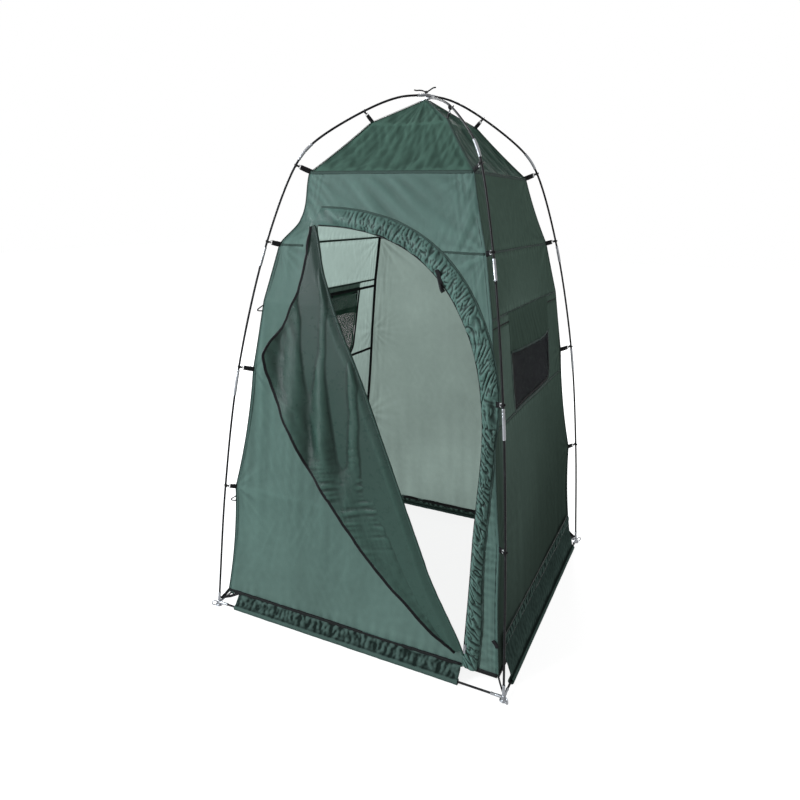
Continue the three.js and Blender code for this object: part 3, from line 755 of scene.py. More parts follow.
def add_crown_tie():
    """An overhand knot over the crossing, and the cord's two free ends."""
    turns = np.linspace(0, 2 * math.pi, 121)
    x = KNOT_R * (np.sin(turns) + 2 * np.sin(2 * turns))
    y = KNOT_R * (np.cos(turns) - 2 * np.cos(2 * turns))
    knot = np.stack([x, y, TIE_BASE_Z + 0.0042 - 0.0019 * np.sin(3 * turns)], -1)
    form = Form()
    form.tube(knot, 0.0023, 10)
    knot_piece = form.object("crown_knot", TIE_ROPE, "webbing", replaces=["crown_tie_knot"])
    for name, route in TIE_ENDS.items():
        line = spline(np.array(route) / 1000 + (0, 0, TIE_BASE_Z), np.linspace(0, 1, 41))
        radii = np.full(len(line), TIE_R)
        radii[[0, -1]] = TIE_R * 0.55
        form = Form()
        form.tube(line, radii, 12)
        piece = form.object(f"crown_cord_{name}", TIE_ROPE, "webbing", replaces=[f"crown_tie_{name}"])


add_crown_tie()

# ---------------------------------------------------------------- the cabin's surface

HALF_Z = np.linspace(HEM_Z - 0.06, APEX_Z, 1200)


def bow_at(z):
    """How far the cloth's edge bows in between its hooks."""
    total = np.zeros_like(z)
    for low, high, deep in zip(BOW_Z, BOW_Z[1:], BOW):
        t = np.clip((z - low) / (high - low), 0, 1)
        total = total + deep * 4 * t * (1 - t)
    return total


CORNER_HALF = np.interp(HALF_Z, CORNER_Z, CORNER_R) - bow_at(HALF_Z)


def soften_profile():
    """The middle of a wall: the corner's profile with its kinks smoothed, and a little slack."""
    step = HALF_Z[1] - HALF_Z[0]
    inside = HALF_Z <= EAVES_Z
    z = HALF_Z[inside]
    r = np.interp(z, CORNER_Z, CORNER_R)
    reach = int(0.20 / step)
    bell = np.exp(-((np.arange(-reach, reach + 1) * step / 0.085) ** 2) / 2)
    bell /= bell.sum()
    low = r[0] - (r[reach] - r[0]) * np.arange(reach, 0, -1) / reach
    high = r[-1] + (r[-1] - r[-1 - reach]) * np.arange(1, reach + 1) / reach
    soft = np.convolve(np.concatenate([low, r, high]), bell, "valid")
    slack = 0.007 * np.sin(math.pi * np.clip((z - HEM_Z) / (EAVES_Z - HEM_Z), 0, 1))
    return np.concatenate([soft - slack, CORNER_HALF[~inside]])


MIDDLE_HALF = soften_profile()


def corner_half(z):
    """Half the cabin's width at its corners, at a height."""
    return np.interp(z, HALF_Z, CORNER_HALF)


def hook_folds(u, z, side):
    """Folds that fan out from where the hooks pull each corner of a wall."""
    total = 0.0
    for row in HOOK_ROWS[:4]:
        hook_z, half = CORNER_Z[row], CORNER_R[row]
        for sign in (-1, 1):
            seed = 100 * SIDES.index(side) + 10 * row + sign
            du, dz = u - sign * half, z - hook_z
            away = np.hypot(du, dz)
            angle = np.arctan2(dz, -sign * du)
            broad = noise(angle * 3.1 + 20, away * 3.0, seed)
            narrow = 0.4 * noise(angle * 7.3 + 9, away * 4.0, seed + 5)
            height = 0.0036 if row == SHOULDER_ROW else 0.0022
            total = total + height * smooth(away, 0.0, 0.07) * np.exp(-away / 0.13) * (broad + narrow)
    return total


def seam_pucker(u, z, seam_z, seed, reach=0.035):
    """Short folds that a sewn seam draws up on either side."""
    near = np.exp(-(((z - seam_z) / reach) ** 2))
    groove = 0.0012 * np.exp(-(((z - seam_z) / 0.006) ** 2))
    return near * (0.0013 * noise(u / 0.016, z / 0.06, seed) - groove)


SIDE_SEAMS = (DOOR_SEAM_Z, 1.334, 0.957)
SEAMS = {"front": (DOOR_SEAM_Z,), "back": (DOOR_SEAM_Z,), "right": SIDE_SEAMS, "left": SIDE_SEAMS}


def front_folds(u, z, seed):
    """The slanting folds over the door, those at its right shoulder, and the short ones on the jamb."""
    p, q = turned(u, z, -38)
    band = smooth(z, 1.56, 1.64) * (1 - smooth(z, 1.77, 1.82)) * (1 - 0.6 * smooth(u, 0.0, 0.2))
    shoulder = smooth(u, 0.22, 0.34) * smooth(z, 1.50, 1.58)
    jamb = smooth(u, 0.50, 0.52) * (1 - smooth(z, 1.25, 1.45))
    slanting = band * 0.0058 * noise(p / 0.33, q / 0.040, seed)
    upright = shoulder * 0.0040 * noise((u - 0.35 * (z - 1.55)) / 0.026, z / 0.26, seed + 1)
    return slanting + upright + jamb * 0.0022 * noise(u / 0.045 + z * 7, z / 0.024, seed + 3)


def wrinkles(side, u, z):
    """How far the cloth of a wall stands out from its smooth surface."""
    seed = 7 + 13 * SIDES.index(side)
    total = 0.0045 * noise(u / 0.42, z / 0.55, seed) + 0.0022 * noise(u / 0.16, z / 0.30, seed + 1)
    total = total + hook_folds(u, z, side) + (0.2 if side == "back" else 0.4) * crumple(u, z, seed + 2)
    for i, seam_z in enumerate(SEAMS[side]):
        total = total + seam_pucker(u, z, seam_z, seed + 60 + i)
    edge = corner_half(z) - np.abs(u)
    upright = smooth(edge, 0.0, 0.02) * (1 - smooth(edge, 0.05, 0.12))
    total = total + upright * 0.0013 * noise(edge / 0.012, z / 0.20, seed + 70)
    if side == "front":
        total = total + front_folds(u, z, seed + 80)
    else:
        low = 1 - smooth(z, 0.25, 0.95)
        total = total + low * 0.0024 * noise(u / 0.070, z / 0.60, seed + 82)
    return total * smooth(edge, 0.0, 0.012)


def wall_out(side, u, z):
    """How far out a wall's cloth stands: at its corners as the hooks hold it, slacker between them."""
    u, z = np.broadcast_arrays(np.asarray(u, float), np.asarray(z, float))
    half = corner_half(z)
    middle = np.interp(z, HALF_Z, MIDDLE_HALF)
    share = np.clip(np.abs(u) / half, 0, 1)
    level = middle + (half - middle) * share**3.5
    return level + wrinkles(side, u, z) * (z < EAVES_Z + 0.001)


def drawn_in(points):
    """The slack beside the door's top, where the front left corner hangs inside the line of its hooks."""
    z = points[..., 2]
    height = smooth(z, 1.545, 1.640) * (1 - smooth(z, 1.655, 1.825))
    corner = np.interp(z, CORNER_Z, CORNER_R)
    away = np.hypot(points[..., 0] + corner, points[..., 1] + corner)
    return points + (0.036 * height * np.exp(-((away / 0.11) ** 2)))[..., None] * unit((1, 1, 0))


def wall_point(side, u, z, lift=0.0):
    """Places on a wall, or a lift outside it."""
    return drawn_in(on_side(side, u, wall_out(side, u, z) + lift, z))


CLOTH_STEP = 0.0085


def add_sheet(
    form, name, material, slot, replaces, body="shelter"
):
    piece = form.object(name, material, slot, body, [replaces])


def wall_rows(low=HEM_Z, high=EAVES_Z):
    return np.linspace(low, high, int(round((high - low) / CLOTH_STEP)) + 1)


# Half a wall's width where the window is.
WINDOW_WALL_HALF = 0.5


def in_window(u, z):
    """Whether a place on a side wall is in its window: square but for the low corner towards the back."""
    inside = (u > WINDOW_Y[0]) & (u < WINDOW_Y[1]) & (z > WINDOW_Z[0]) & (z < WINDOW_Z[1])
    cu, cz = WINDOW_Y[1] - WINDOW_CORNER, WINDOW_Z[0] + WINDOW_CORNER
    cut = (u > cu) & (z < cz) & (np.hypot(u - cu, z - cz) > WINDOW_CORNER)
    return inside & ~cut


def snapped(values, marks):
    """The sorted values, with the nearest one moved onto each mark."""
    values = values.copy()
    for mark in marks:
        values[np.argmin(np.abs(values - mark))] = mark
    return values


def window_columns(across, half):
    """Where the columns of a wall with a window run: upright past the window, and leaning only beyond it."""
    low, high = (y / WINDOW_WALL_HALF for y in WINDOW_Y)
    inner = np.clip(across, low, high) * WINDOW_WALL_HALF
    beyond = (across - inner / WINDOW_WALL_HALF) / np.where(across < 0, 1 + low, 1 - high)
    room = half[:, None] - np.abs(np.where(across < 0, *WINDOW_Y))[None, :]
    return inner[None, :] + beyond[None, :] * room


def middles(grid):
    """The middle of each cell of a grid of numbers."""
    return (grid[:-1, :-1] + grid[1:, 1:]) / 2


def add_whole_wall(side, material, window):
    z, across, keep = wall_rows(), np.linspace(-1, 1, 143), None
    if window:
        z = snapped(z, WINDOW_Z)
        across = snapped(across, [y / WINDOW_WALL_HALF for y in WINDOW_Y])
    half = corner_half(z)
    u = window_columns(across, half) if window else across[None, :] * half[:, None]
    zz = np.broadcast_to(z[:, None], u.shape)
    if window:
        keep = ~in_window(middles(u), middles(zz))
    form = Form()
    form.sheet(wall_point(side, u, zz), np.stack([u, zz], -1), OUTWARD[side], keep)
    form.drop_loose()
    name = f"{side}_wall_cloth"
    add_sheet(form, name, material, "wall_cloth", f"{side}_wall")


add_whole_wall("right", SHADED, True)
add_whole_wall("left", SHADED_SIDE, True)
add_whole_wall("back", WALL, False)

# ---------------------------------------------------------------- front


def opening_edge(out, steps=220):
    """The free edge of the door opening from the fold's top, over the arch and down the jamb, as x and z."""
    t = (math.pi / 2) * (1 - np.linspace(0, 1, 12 * steps))
    x = FOLD_TOP[0] + (FOLD_BOTTOM[0] - FOLD_TOP[0] + out) * np.cos(t).clip(0) ** (2 / ARCH_ROUNDNESS)
    z = ARCH_SPRING_Z + (FOLD_TOP[1] - ARCH_SPRING_Z + out) * np.sin(t).clip(0) ** (2 / ARCH_ROUNDNESS)
    down = np.linspace(ARCH_SPRING_Z, HEM_Z + 0.008, 400)[1:]
    line = np.stack([np.append(x, np.full(len(down), x[-1])), np.append(z, down)], -1)
    return evenly(line, steps)


def add_front_wall():
    """The header over the door and the jamb beside it, cut from two patches that share an upright line."""
    inner = opening_edge(0.012, 400)
    turn = int(np.argmin(np.hypot(inner[:, 0] - 0.24, inner[:, 1] - 1.51)))
    top = np.stack([np.linspace(FOLD_TOP[0], corner_half(EAVES_Z), turn + 1), np.full(turn + 1, EAVES_Z)], -1)
    down_z = np.linspace(EAVES_Z, HEM_Z + 0.008, len(inner) - turn)
    down = np.stack([corner_half(down_z), down_z], -1)
    outer = np.vstack([top, down[1:]])
    share = np.linspace(0, 1, 37)[None, :, None]
    arch = inner[:, None] * (1 - share) + outer[:, None] * share
    z = arch[0, :, 1]
    across = np.linspace(0, 1, 18)[:, None]
    x = -corner_half(z)[None, :] * (1 - across) + FOLD_TOP[0] * across
    corner = np.stack([x, np.broadcast_to(z, x.shape)], -1)
    header, jamb = Form(), Form()
    for place in (arch, corner):
        points = wall_point("front", place[..., 0], place[..., 1])
        high = middles(place[..., 1]) > DOOR_SEAM_Z
        header.sheet(points, place, OUTWARD["front"], high)
        if not high.all():
            jamb.sheet(points, place, OUTWARD["front"], ~high)
    for form, name, flat, area, node in (
        (header, "front_header_cloth", (0.80, 0.28), 0.165, "front_header"),
        (jamb, "front_jamb_cloth", (0.15, 1.50), 0.130, "front_right_jamb"),
    ):
        form.drop_loose()
        add_sheet(form, name, WALL, "wall_cloth", node)


add_front_wall()


def on_front(x, z, lift=0.0):
    """A place on the front of the cabin as the CAD has it: flat between the corners' kinks."""
    return on_side("front", x, np.interp(z, CORNER_Z, CORNER_R) + lift, z)


HINGE_TOP = on_front(*FOLD_TOP, FOLD_FORWARD)
HINGE_END = on_front(*FOLD_BOTTOM, FOLD_FORWARD)
FOLD_LENGTH = float(np.linalg.norm(HINGE_END - HINGE_TOP))
ALONG = unit(HINGE_END - HINGE_TOP)


def fold_axes():
    """Across the open flap from its fold, and out of its face."""
    jamb = on_front(FOLD_BOTTOM[0], ARCH_SPRING_Z) - HINGE_TOP
    closed = unit(jamb - ALONG * (jamb @ ALONG))
    across = closed * math.cos(FLAP_SWING) + np.cross(ALONG, closed) * math.sin(FLAP_SWING)
    out = np.cross(ALONG, across)
    return across, out if out[1] < 0 else -out


ACROSS, FLAP_OUT = fold_axes()


def fold_bow(s):
    """How far the slack fold hangs in from the straight line between its two ends."""
    share = s / FOLD_LENGTH
    even = FOLD_BOW * smooth(share, 0, 0.12) * (1 - smooth(share, 0.80, 1.0))
    return even + FOLD_HIGH_BOW * np.exp(-(((share - 0.22) / 0.10) ** 2))


def fold_point(z):
    """Where the door's fold is at a height; below its foot the panel's edge drops straight to the hem."""
    share = np.clip((FOLD_TOP[1] - z) / (FOLD_TOP[1] - FOLD_BOTTOM[1]), 0, 1)
    fall = ACROSS[2] / ALONG[2]
    bow = fold_bow(share * FOLD_LENGTH - fall * fold_bow(share * FOLD_LENGTH))
    at = HINGE_TOP + (HINGE_END - HINGE_TOP) * share[..., None] + (0, FOLD_FORWARD, 0)
    at = at + bow[..., None] * (ACROSS - ALONG * fall)
    foot = -np.interp(z, CORNER_Z, CORNER_R)
    at[..., 1] = np.where(z < FOLD_BOTTOM[1], foot, at[..., 1])
    return at


def panel_point(across, z, lift=0.0):
    """The front left panel: across is 0 at the cabin's corner and 1 at the fold."""
    across, z = np.broadcast_arrays(np.asarray(across, float), np.asarray(z, float))
    half = corner_half(z)
    fold = fold_point(z)
    x = -half + (fold[..., 0] + half) * across
    y = -half + (fold[..., 1] + half) * across
    wide = np.maximum(fold[..., 0] + half, 0.02)
    from_corner, from_fold = across * wide, (1 - across) * wide
    swell = 0.0060 * noise(x / 0.30, z / 0.50, 201) + 0.0026 * noise(x / 0.11, z / 0.42, 202)
    swell = swell + 0.0036 * noise(x / 0.045, z / 0.55, 203) * smooth(z, 0.1, 0.9)
    swell = swell + hook_folds(x, z, "front") + 0.45 * crumple(x, z, 204)
    swell = swell + seam_pucker(x, z, DOOR_SEAM_Z, 205)
    swell = swell + 0.0016 * noise(x / 0.03, z / 0.10, 206) * np.exp(-(((z - HEM_Z) / 0.06) ** 2))
    fade = smooth(from_corner, 0.0, 0.012) * smooth(from_fold, 0.0, 0.07)
    return drawn_in(np.stack([x, y - (swell * fade + lift), z], -1))


def add_left_panel():
    z = wall_rows(HEM_Z, FOLD_TOP[1] + 0.016)
    across = np.linspace(0, 1, 121)
    points = panel_point(across[None, :], z[:, None])
    form = Form()
    form.sheet(points, points[..., [0, 2]], OUTWARD["front"])
    name, node = "left_panel_cloth", "front_left_panel"
    add_sheet(form, name, WALL, "wall_cloth", node)


add_left_panel()

# The open flap's free edge: how far along the fold from its top, and how far from the fold.
FLAP_EDGE = [
    *[(0, 0.012), (0.060, 0.046), (0.123, 0.084), (0.214, 0.152), (0.308, 0.256), (0.350, 0.335)],
    *[(0.385, 0.374), (0.442, 0.386), (0.660, 0.386), (0.865, 0.356), (1.107, 0.286), (1.276, 0.236)],
    *[(1.397, 0.182), (1.488, 0.140), (1.612, 0.080), (1.690, 0.022)],
]
PLUMB_LEAN = 0.3756  # how far a plumb line down the folded flap strays from the fold, for each metre along it


def rounded(values, width):
    """The values with their corners smoothed over a few steps."""
    bell = np.exp(-(np.linspace(-2, 2, 2 * width + 1) ** 2))
    return np.convolve(np.pad(values, width, mode="edge"), bell / bell.sum(), "valid")


def flap_lift(s, n, wide):
    """How far the slack flap's cloth stands out from the plane that it folds back to."""
    share = n / wide
    fan = np.arctan2(n, s + 0.02)
    top = 1 - smooth(s, 0.30, 0.95)
    deep = 0.005 * top * smooth(s, 0.01, 0.12)
    pleats = 0.75 * np.sin(fan * 17 + 2.2 * noise(s / 0.35, 3.3, 301))
    lift = deep * (pleats + 0.8 * noise(fan * 5.5, s / 0.6, 302))
    hang = n - PLUMB_LEAN * s
    plumb = smooth(s, 0.05, 0.25) * (1 - smooth(s, 0.75, 1.10)) * (1 - 0.55 * smooth(hang, 0.03, 0.10))
    lift = lift + 0.0155 * plumb * np.sin(45.9 * hang + 3.42 + 0.7 * noise(s / 0.4, 5.5, 309))
    lift = lift + 0.0060 * noise(n / 0.10, s / 0.55, 303) * smooth(s, 0.2, 0.6)
    lift = lift + 0.0035 * noise(n / 0.042, s / 0.38, 304)
    near_fold = np.exp(-((n / 0.085) ** 2)) * smooth(s, 0.35, 0.8)
    lift = lift + near_fold * 0.0026 * noise(n / 0.09, s / 0.019, 305)
    ruck = smooth(s, 0.80, 0.95) * (1 - smooth(s, 1.15, 1.30))
    ruck = ruck * smooth(noise(n / 0.09, s / 0.10, 311), -0.5, 0.3)
    lift = lift + ruck * 0.0034 * noise(n / 0.17, (s + 0.25 * n) / 0.016, 306)
    lift = lift + crumple(n, s, 307)
    roll = 0.010 * smooth(share, 0.80, 1.0) * (0.6 + 0.7 * noise(s / 0.12, 1.7, 308))
    sag = 0.010 * np.sin(math.pi * np.clip(share, 0, 1)) * smooth(s, 0.1, 0.5)
    return (lift * smooth(n - fold_bow(s), 0.0, 0.03) + roll - sag) * smooth(s, 0.0, 0.05)


def flap_point(s, n, wide):
    """The open flap's cloth, s along the fold and n across it, kept in front of the panel that it lies on."""
    at = HINGE_TOP + s[..., None] * ALONG + n[..., None] * ACROSS
    at = at + flap_lift(s, n, wide)[..., None] * FLAP_OUT
    half = corner_half(at[..., 2])
    fold = fold_point(at[..., 2])
    share = np.clip((at[..., 0] + half) / (fold[..., 0] + half), 0, 1)
    behind = -half + (fold[..., 1] + half) * share - 0.009 * smooth(n - fold_bow(s), 0.0, 0.035) - 0.0045
    at[..., 1] = np.minimum(at[..., 1], np.where(at[..., 0] > -half, behind, 9.0))
    return at


def add_flap():
    along, width = np.array(FLAP_EDGE).T
    s = np.linspace(0.0, along[-1], 300)
    wide = rounded(np.interp(s, along, width), 5) + 0.0018 * noise(s / 0.05, 0.5, 310)
    share = np.linspace(0, 1, 84)
    start = fold_bow(s)[:, None]
    n = start + share[None, :] * np.maximum(wide[:, None] - start, 0.004)
    ss = np.broadcast_to(s[:, None], n.shape)
    ww = np.broadcast_to(wide[:, None], n.shape)
    points = flap_point(ss, n, ww)
    form = Form()
    form.sheet(points, np.stack([n, ss], -1), FLAP_OUT)
    edge = points[:, -1]
    inward = points[:, -4]
    tape, coil = Form(), Form()
    side = unit(edge - inward)
    normal = unit(np.cross(side, np.gradient(edge, axis=0)))
    normal = np.where((normal @ FLAP_OUT)[:, None] < 0, -normal, normal)
    tape.strip(edge + side * 0.001, normal, 0.010, 0.0009, -0.0005)
    coil.tube(edge + side * 0.0062, 0.0011 + 0.0003 * (np.arange(len(edge)) % 2), 8)
    tape_piece = tape.object("flap_zip_tape", ZIP_TAPE, "webbing", "door_flap")
    coil_piece = coil.object("flap_zip_coil", PLASTIC, "webbing", "door_flap")
    flat, node, under = (0.43, 1.71), "door_flap", ["left_panel_cloth"]
    add_sheet(form, "flap_cloth", FLAP, "flap_cloth", node, node)


add_flap()


def add_fold_roll():
    """The soft roll along the door's fold, where the flap turns back over the panel."""
    share = np.linspace(0, 1, 260)[:, None]
    s = share[:, 0] * FOLD_LENGTH
    line = HINGE_TOP + (HINGE_END - HINGE_TOP) * share + np.outer(fold_bow(s), ACROSS)
    radii = 0.0046 + 0.0009 * noise(s / 0.035, 2.4, 321)
    radii[[0, -1]] = 0.002
    form = Form()
    form.tube(line, radii, 24)
    roll = form.object("door_fold_roll", FLAP, "flap_cloth", None)
    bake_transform(roll)


add_fold_roll()


def add_arch_cover():
    """The gathered strip over the door's zip: a full, ruffled band that is smooth only at its left end."""
    inner, outer = opening_edge(0.0, 560), opening_edge(ARCH_COVER_WIDTH, 560)
    drawn = smooth(1.05 - inner[:, 1], 0.0, 0.20) * (1 - 0.75 * smooth(0.42 - inner[:, 1], 0.0, 0.22))
    outer = outer + (inner - outer) * (0.30 * drawn)[:, None]
    share = np.linspace(0, 1, 26)
    s = np.broadcast_to(distances(inner)[:, None], (len(inner), len(share)))
    q = np.broadcast_to(share[None, :], s.shape)
    ease = smooth(s, 0.06, 0.26)
    upright = smooth(s, 0.75, 1.15)
    skew = s + (0.5 - q) * (0.012 + 0.055 * upright) + 0.030 * (q - 0.5) * noise(s / 0.09, 7.7, 401)
    pitch = 0.017 + 0.012 * upright
    patch = smooth(noise(s / 0.045, q * 1.6, 407), -0.55, 0.25)
    hollow = creases(skew / pitch, q * 0.9 + s * 0.3, 402, 4) * patch
    second = creases(skew / (0.7 * pitch), q * 2.3, 408, 5) * (1 - patch)
    hollows = (0.0075 + 0.0030 * upright) * (hollow + 0.6 * second)
    ruffle = (0.0050 * noise(skew / 0.030, q * 1.5, 403) - hollows) * (0.45 + 0.75 * np.sin(math.pi * q))
    fine = 0.0009 * noise(skew / 0.008, q * 2.4, 404)
    full = 0.0150 * np.sin(math.pi * q) ** 0.7 + 0.005
    lift = full * (0.75 + 0.25 * ease) + (ruffle + fine) * ease + 0.0012 * noise(s / 0.08, q, 405)
    edge = 0.0030 * noise(s / 0.028, 5.5, 406) * ease
    place = inner[:, None] * (1 - q)[..., None] + outer[:, None] * q[..., None]
    outwards = unit(outer - inner)[:, None]
    place = place + outwards * (edge * (1 - q) + 0.6 * edge * q)[..., None]
    lift = np.maximum(lift, 0.0016)
    points = wall_point("front", place[..., 0], place[..., 1], lift)
    form = Form()
    form.sheet(points, np.stack([s, q * ARCH_COVER_WIDTH], -1), OUTWARD["front"])
    back = wall_point("front", *(inner + outwards[:, 0] * 0.012).T, 0.0005)
    turn = np.stack([points[:, 0], points[:, 0] + (0, 0.004, 0), back], 1)
    form.grid(turn[:, ::-1], np.zeros((*turn.shape[:2], 2)))
    add_sheet(form, "arch_cover_cloth", GATHER, "wall_cloth", "arch_cover")

    tape, coil, hem = Form(), Form(), Form()
    line = wall_point("front", *(inner + outwards[:, 0] * 0.008).T, -0.0035)
    tape.strip(line[::2], OUTWARD["front"], 0.022, 0.0008)
    tape.object("arch_zip_tape", ZIP_TAPE, "webbing")
    line = wall_point("front", *(inner - outwards[:, 0] * 0.0035).T, -0.0030)
    coil.tube(line, 0.0014 + 0.0004 * (np.arange(len(line)) % 2), 8)
    coil.object("arch_zip_coil", PLASTIC, "webbing")
    line = wall_point("front", *(outer + outwards[:, 0] * 0.002).T, 0.0)
    hem.strip(line[::2], OUTWARD["front"], 0.010, 0.0010)
    hem.object("arch_cover_seam", SEAM, "wall_cloth")


add_arch_cover()

# ---------------------------------------------------------------- windows


def window_edge(inset, count=240):
    """The window's outline as y and z, closed."""
    y0, y1 = WINDOW_Y[0] + inset, WINDOW_Y[1] - inset
    z0, z1 = WINDOW_Z[0] + inset, WINDOW_Z[1] - inset
    r = WINDOW_CORNER - inset
    bend = np.linspace(-math.pi / 2, 0, 24)
    arc = np.stack([y1 - r + r * np.cos(bend), z0 + r + r * np.sin(bend)], -1)
    line = np.vstack([[(y0, z0)], arc, [(y1, z1), (y0, z1), (y0, z0)]])
    return evenly(line, count)


def add_window(side):
    """The net that zips open, with its border, and the binding and facing round the window."""
    out = np.array(OUTWARD[side], float)
    z = wall_rows(WINDOW_Z[0] + NET_GAP, WINDOW_Z[1] - NET_GAP)
    u = np.linspace(WINDOW_Y[0] + NET_GAP, WINDOW_Y[1] - NET_GAP, 66)
    uu, zz = np.meshgrid(u, z)
    hung = np.sin(math.pi * (uu - u[0]) / (u[-1] - u[0]))
    sag = -0.006 * hung * np.sin(math.pi * (zz - z[0]) / (z[-1] - z[0]))
    p, q = turned(uu, zz, -32 if side == "right" else 32)
    fold = 0.0035 * creases(p / 0.9, (q - 0.93) / 0.16, 501, 6)
    net, border, rim, face = Form(), Form(), Form(), Form()
    keep = in_window(middles(uu), middles(zz))
    net.grid(wall_point(side, uu, zz, sag + fold - 0.001), np.stack([uu, zz], -1), keep)
    net.drop_loose()
    border.strip(wall_point(side, *window_edge(0.008).T, 0.0005), out, 0.011, 0.0009)
    body = f"{side}_window"
    trim = [border.object(f"{side}_net_border", ZIP_TAPE, "webbing", body)]
    name, node = f"{side}_net", f"{side}_window_mesh"
    add_sheet(net, name, NETS_LEFT_PAINTED_LIT[side], "window_mesh", node, body)

    edge = window_edge(-0.007)
    rim.strip(wall_point(side, *edge.T, -0.0022), -out, 0.014, 0.0010)
    rim.object(f"{side}_window_binding", BINDING, "webbing")
    low = edge[(edge[:, 1] < HOOD_Z[0] + 0.02)]
    face.strip(wall_point(side, *low.T, 0.0004), out, 0.012, 0.0010)
    face.object(f"{side}_window_facing", SEAM, "wall_cloth")


def add_hood(side):
    """The pleated rain hood over a window's upper half."""
    y0, y1 = WINDOW_Y[0] - 0.015, WINDOW_Y[1] + 0.010
    share = np.linspace(0, 1, 40)[:, None]
    across = np.linspace(0, 1, 150)[None, :]
    top = HOOD_Z[1] + 0.004
    u, z = np.broadcast_arrays(y0 + (y1 - y0) * across, top + (HOOD_Z[0] - top) * share)
    seed = 520 + SIDES.index(side)
    ends = np.sin(math.pi * across) ** 0.45
    hang = HOOD_OUT * smooth(share, -0.1, 1.1) * ends
    pleat = 0.0050 * noise(u / 0.026, share * 0.8, seed) + 0.0032 * noise(u / 0.055, share * 1.2, seed + 1)
    fine = 0.0012 * noise(u / 0.010, share * 2.0, seed + 2)
    lift = 0.0020 + hang * 0.85 + (pleat + fine) * (0.35 + 0.65 * share)
    drop = -0.0035 * noise(u / 0.05, 0.5, seed + 3) * share
    points = wall_point(side, u, z + drop, np.maximum(lift, 0.0014))
    form = Form()
    form.sheet(points, np.stack([u, z], -1), OUTWARD[side])
    hem = Form()
    hem.strip(points[-1], OUTWARD[side], 0.010, 0.0010, -0.0005)
    trim = [hem.object(f"{side}_hood_hem", SEAM, "wall_cloth")]
    cloth = SHADED if side == "right" else SHADED_SIDE
    name, node = f"{side}_hood_cloth", f"{side}_window_hood"
    add_sheet(form, name, cloth, "wall_cloth", node)


for side in ("right", "left"):
    add_window(side)
    add_hood(side)

# ---------------------------------------------------------------- roof


def roof_point(side, across, z):
    """A roof gore: across is -1 to 1 between its two hips."""
    across, z = np.broadcast_arrays(np.asarray(across, float), np.asarray(z, float))
    half = corner_half(z)
    seed = 600 + 17 * SIDES.index(side)
    height = np.clip((z - EAVES_Z) / (APEX_Z - EAVES_Z), 0, 1)
    edge = half * (1 - np.abs(across))
    pleats = 0.0060 * noise(across * 3.6, height * 1.3, seed)
    pleats = (pleats + 0.0022 * noise(across * 8.5, height * 2.6, seed + 1)) * smooth(half, 0.0, 0.14)
    p, q = turned(across * half, z, 52)
    drawn = 0.0026 * noise(p / 0.18, q / 0.050, seed + 2) + 0.0026 * noise(q / 0.16, p / 0.06, seed + 3)
    belly = -0.016 * np.sin(math.pi * height) * (1 - across**2)
    bump = (pleats + drawn + crumple(across * half, z, seed + 4) * 1.6) * smooth(edge, 0.0, 0.02) + belly
    bump = bump * smooth(height, 0.0, 0.04)
    lean = np.interp(z, HALF_Z, np.gradient(CORNER_HALF, HALF_Z))
    length = np.sqrt(1 + lean**2)
    return on_side(side, across * half, half + bump / length, z - bump * lean / length)


def add_roof(side):
    z = np.append(np.linspace(EAVES_Z, 2.05, 44), np.linspace(2.055, APEX_Z, 12))
    across = np.linspace(-1, 1, 97)
    points = roof_point(side, across[None, :], z[:, None])
    place = np.stack(np.broadcast_arrays(across[None, :] * corner_half(z)[:, None], z[:, None]), -1)
    form = Form()
    form.sheet(points, place, OUTWARD[side])
    name, flat = f"{side}_roof_cloth", (0.664, 0.43)
    add_sheet(form, name, ROOF, "roof_cloth", f"{side}_roof")


for side in SIDES:
    add_roof(side)

# ---------------------------------------------------------------- skirts


# The sleeve round the base pole, as distances out and heights.
SLEEVE = [
    *[(0.6500, 0.0265), (0.6590, 0.0220), (0.6620, 0.0140), (0.6590, 0.0060), (0.6500, 0.0022)],
    *[(0.6415, 0.0060), (0.6385, 0.0140), (0.6410, 0.0215), (0.6450, 0.0255)],
]


def skirt_line(side):
    """The path down a skirt and round its sleeve, as distances out and heights."""
    if side in ("left", "right"):
        half = np.interp(SIDE_SKIRT_Z, CORNER_Z, CORNER_R)
        top = [(half + 0.003, SIDE_SKIRT_Z), (0.622, 0.120), (0.640, 0.060)]
    else:
        top = [(np.interp(HEM_Z, CORNER_Z, CORNER_R) + 0.004, HEM_Z + 0.012), (0.634, 0.044)]
    knots = np.array([(out, 0.0, z) for out, z in top + SLEEVE])
    return spline(knots, np.linspace(0, 1, 260))[:, [0, 2]]


def skirt_folds(tall, u, reach, total, seed):
    """How far a skirt's cloth stands out: a ruffled band above a plainer fall, or ruffles all the way."""
    fine = 0.0026 * noise(u / 0.018, reach / 0.03, seed + 2)
    fine = fine + 0.0008 * noise(u / 0.010, reach / 0.016, seed + 3)
    if tall:
        band = smooth(reach, 0.0, 0.008) * (1 - smooth(reach, 0.036, 0.046))
        wave = band * (0.0050 * noise(u / 0.014, reach / 0.06, seed) + 0.0040)
        wave = wave + (1 - band) * 0.0040 * noise(u / 0.110, reach / 0.11, seed + 1)
        wave = wave + (0.25 + 0.75 * band) * fine
    else:
        wave = 0.0060 * noise(u / 0.034, reach / 0.045, seed) + fine
        wave = wave + 0.0034 * noise(u / 0.11, reach / 0.03, seed + 1)
    sleeve = smooth(reach, total - 0.090, total - 0.055)
    return wave * smooth(reach, 0.0, 0.012) * (1 - 0.88 * sleeve) * (1 - smooth(reach, total - 0.008, total))


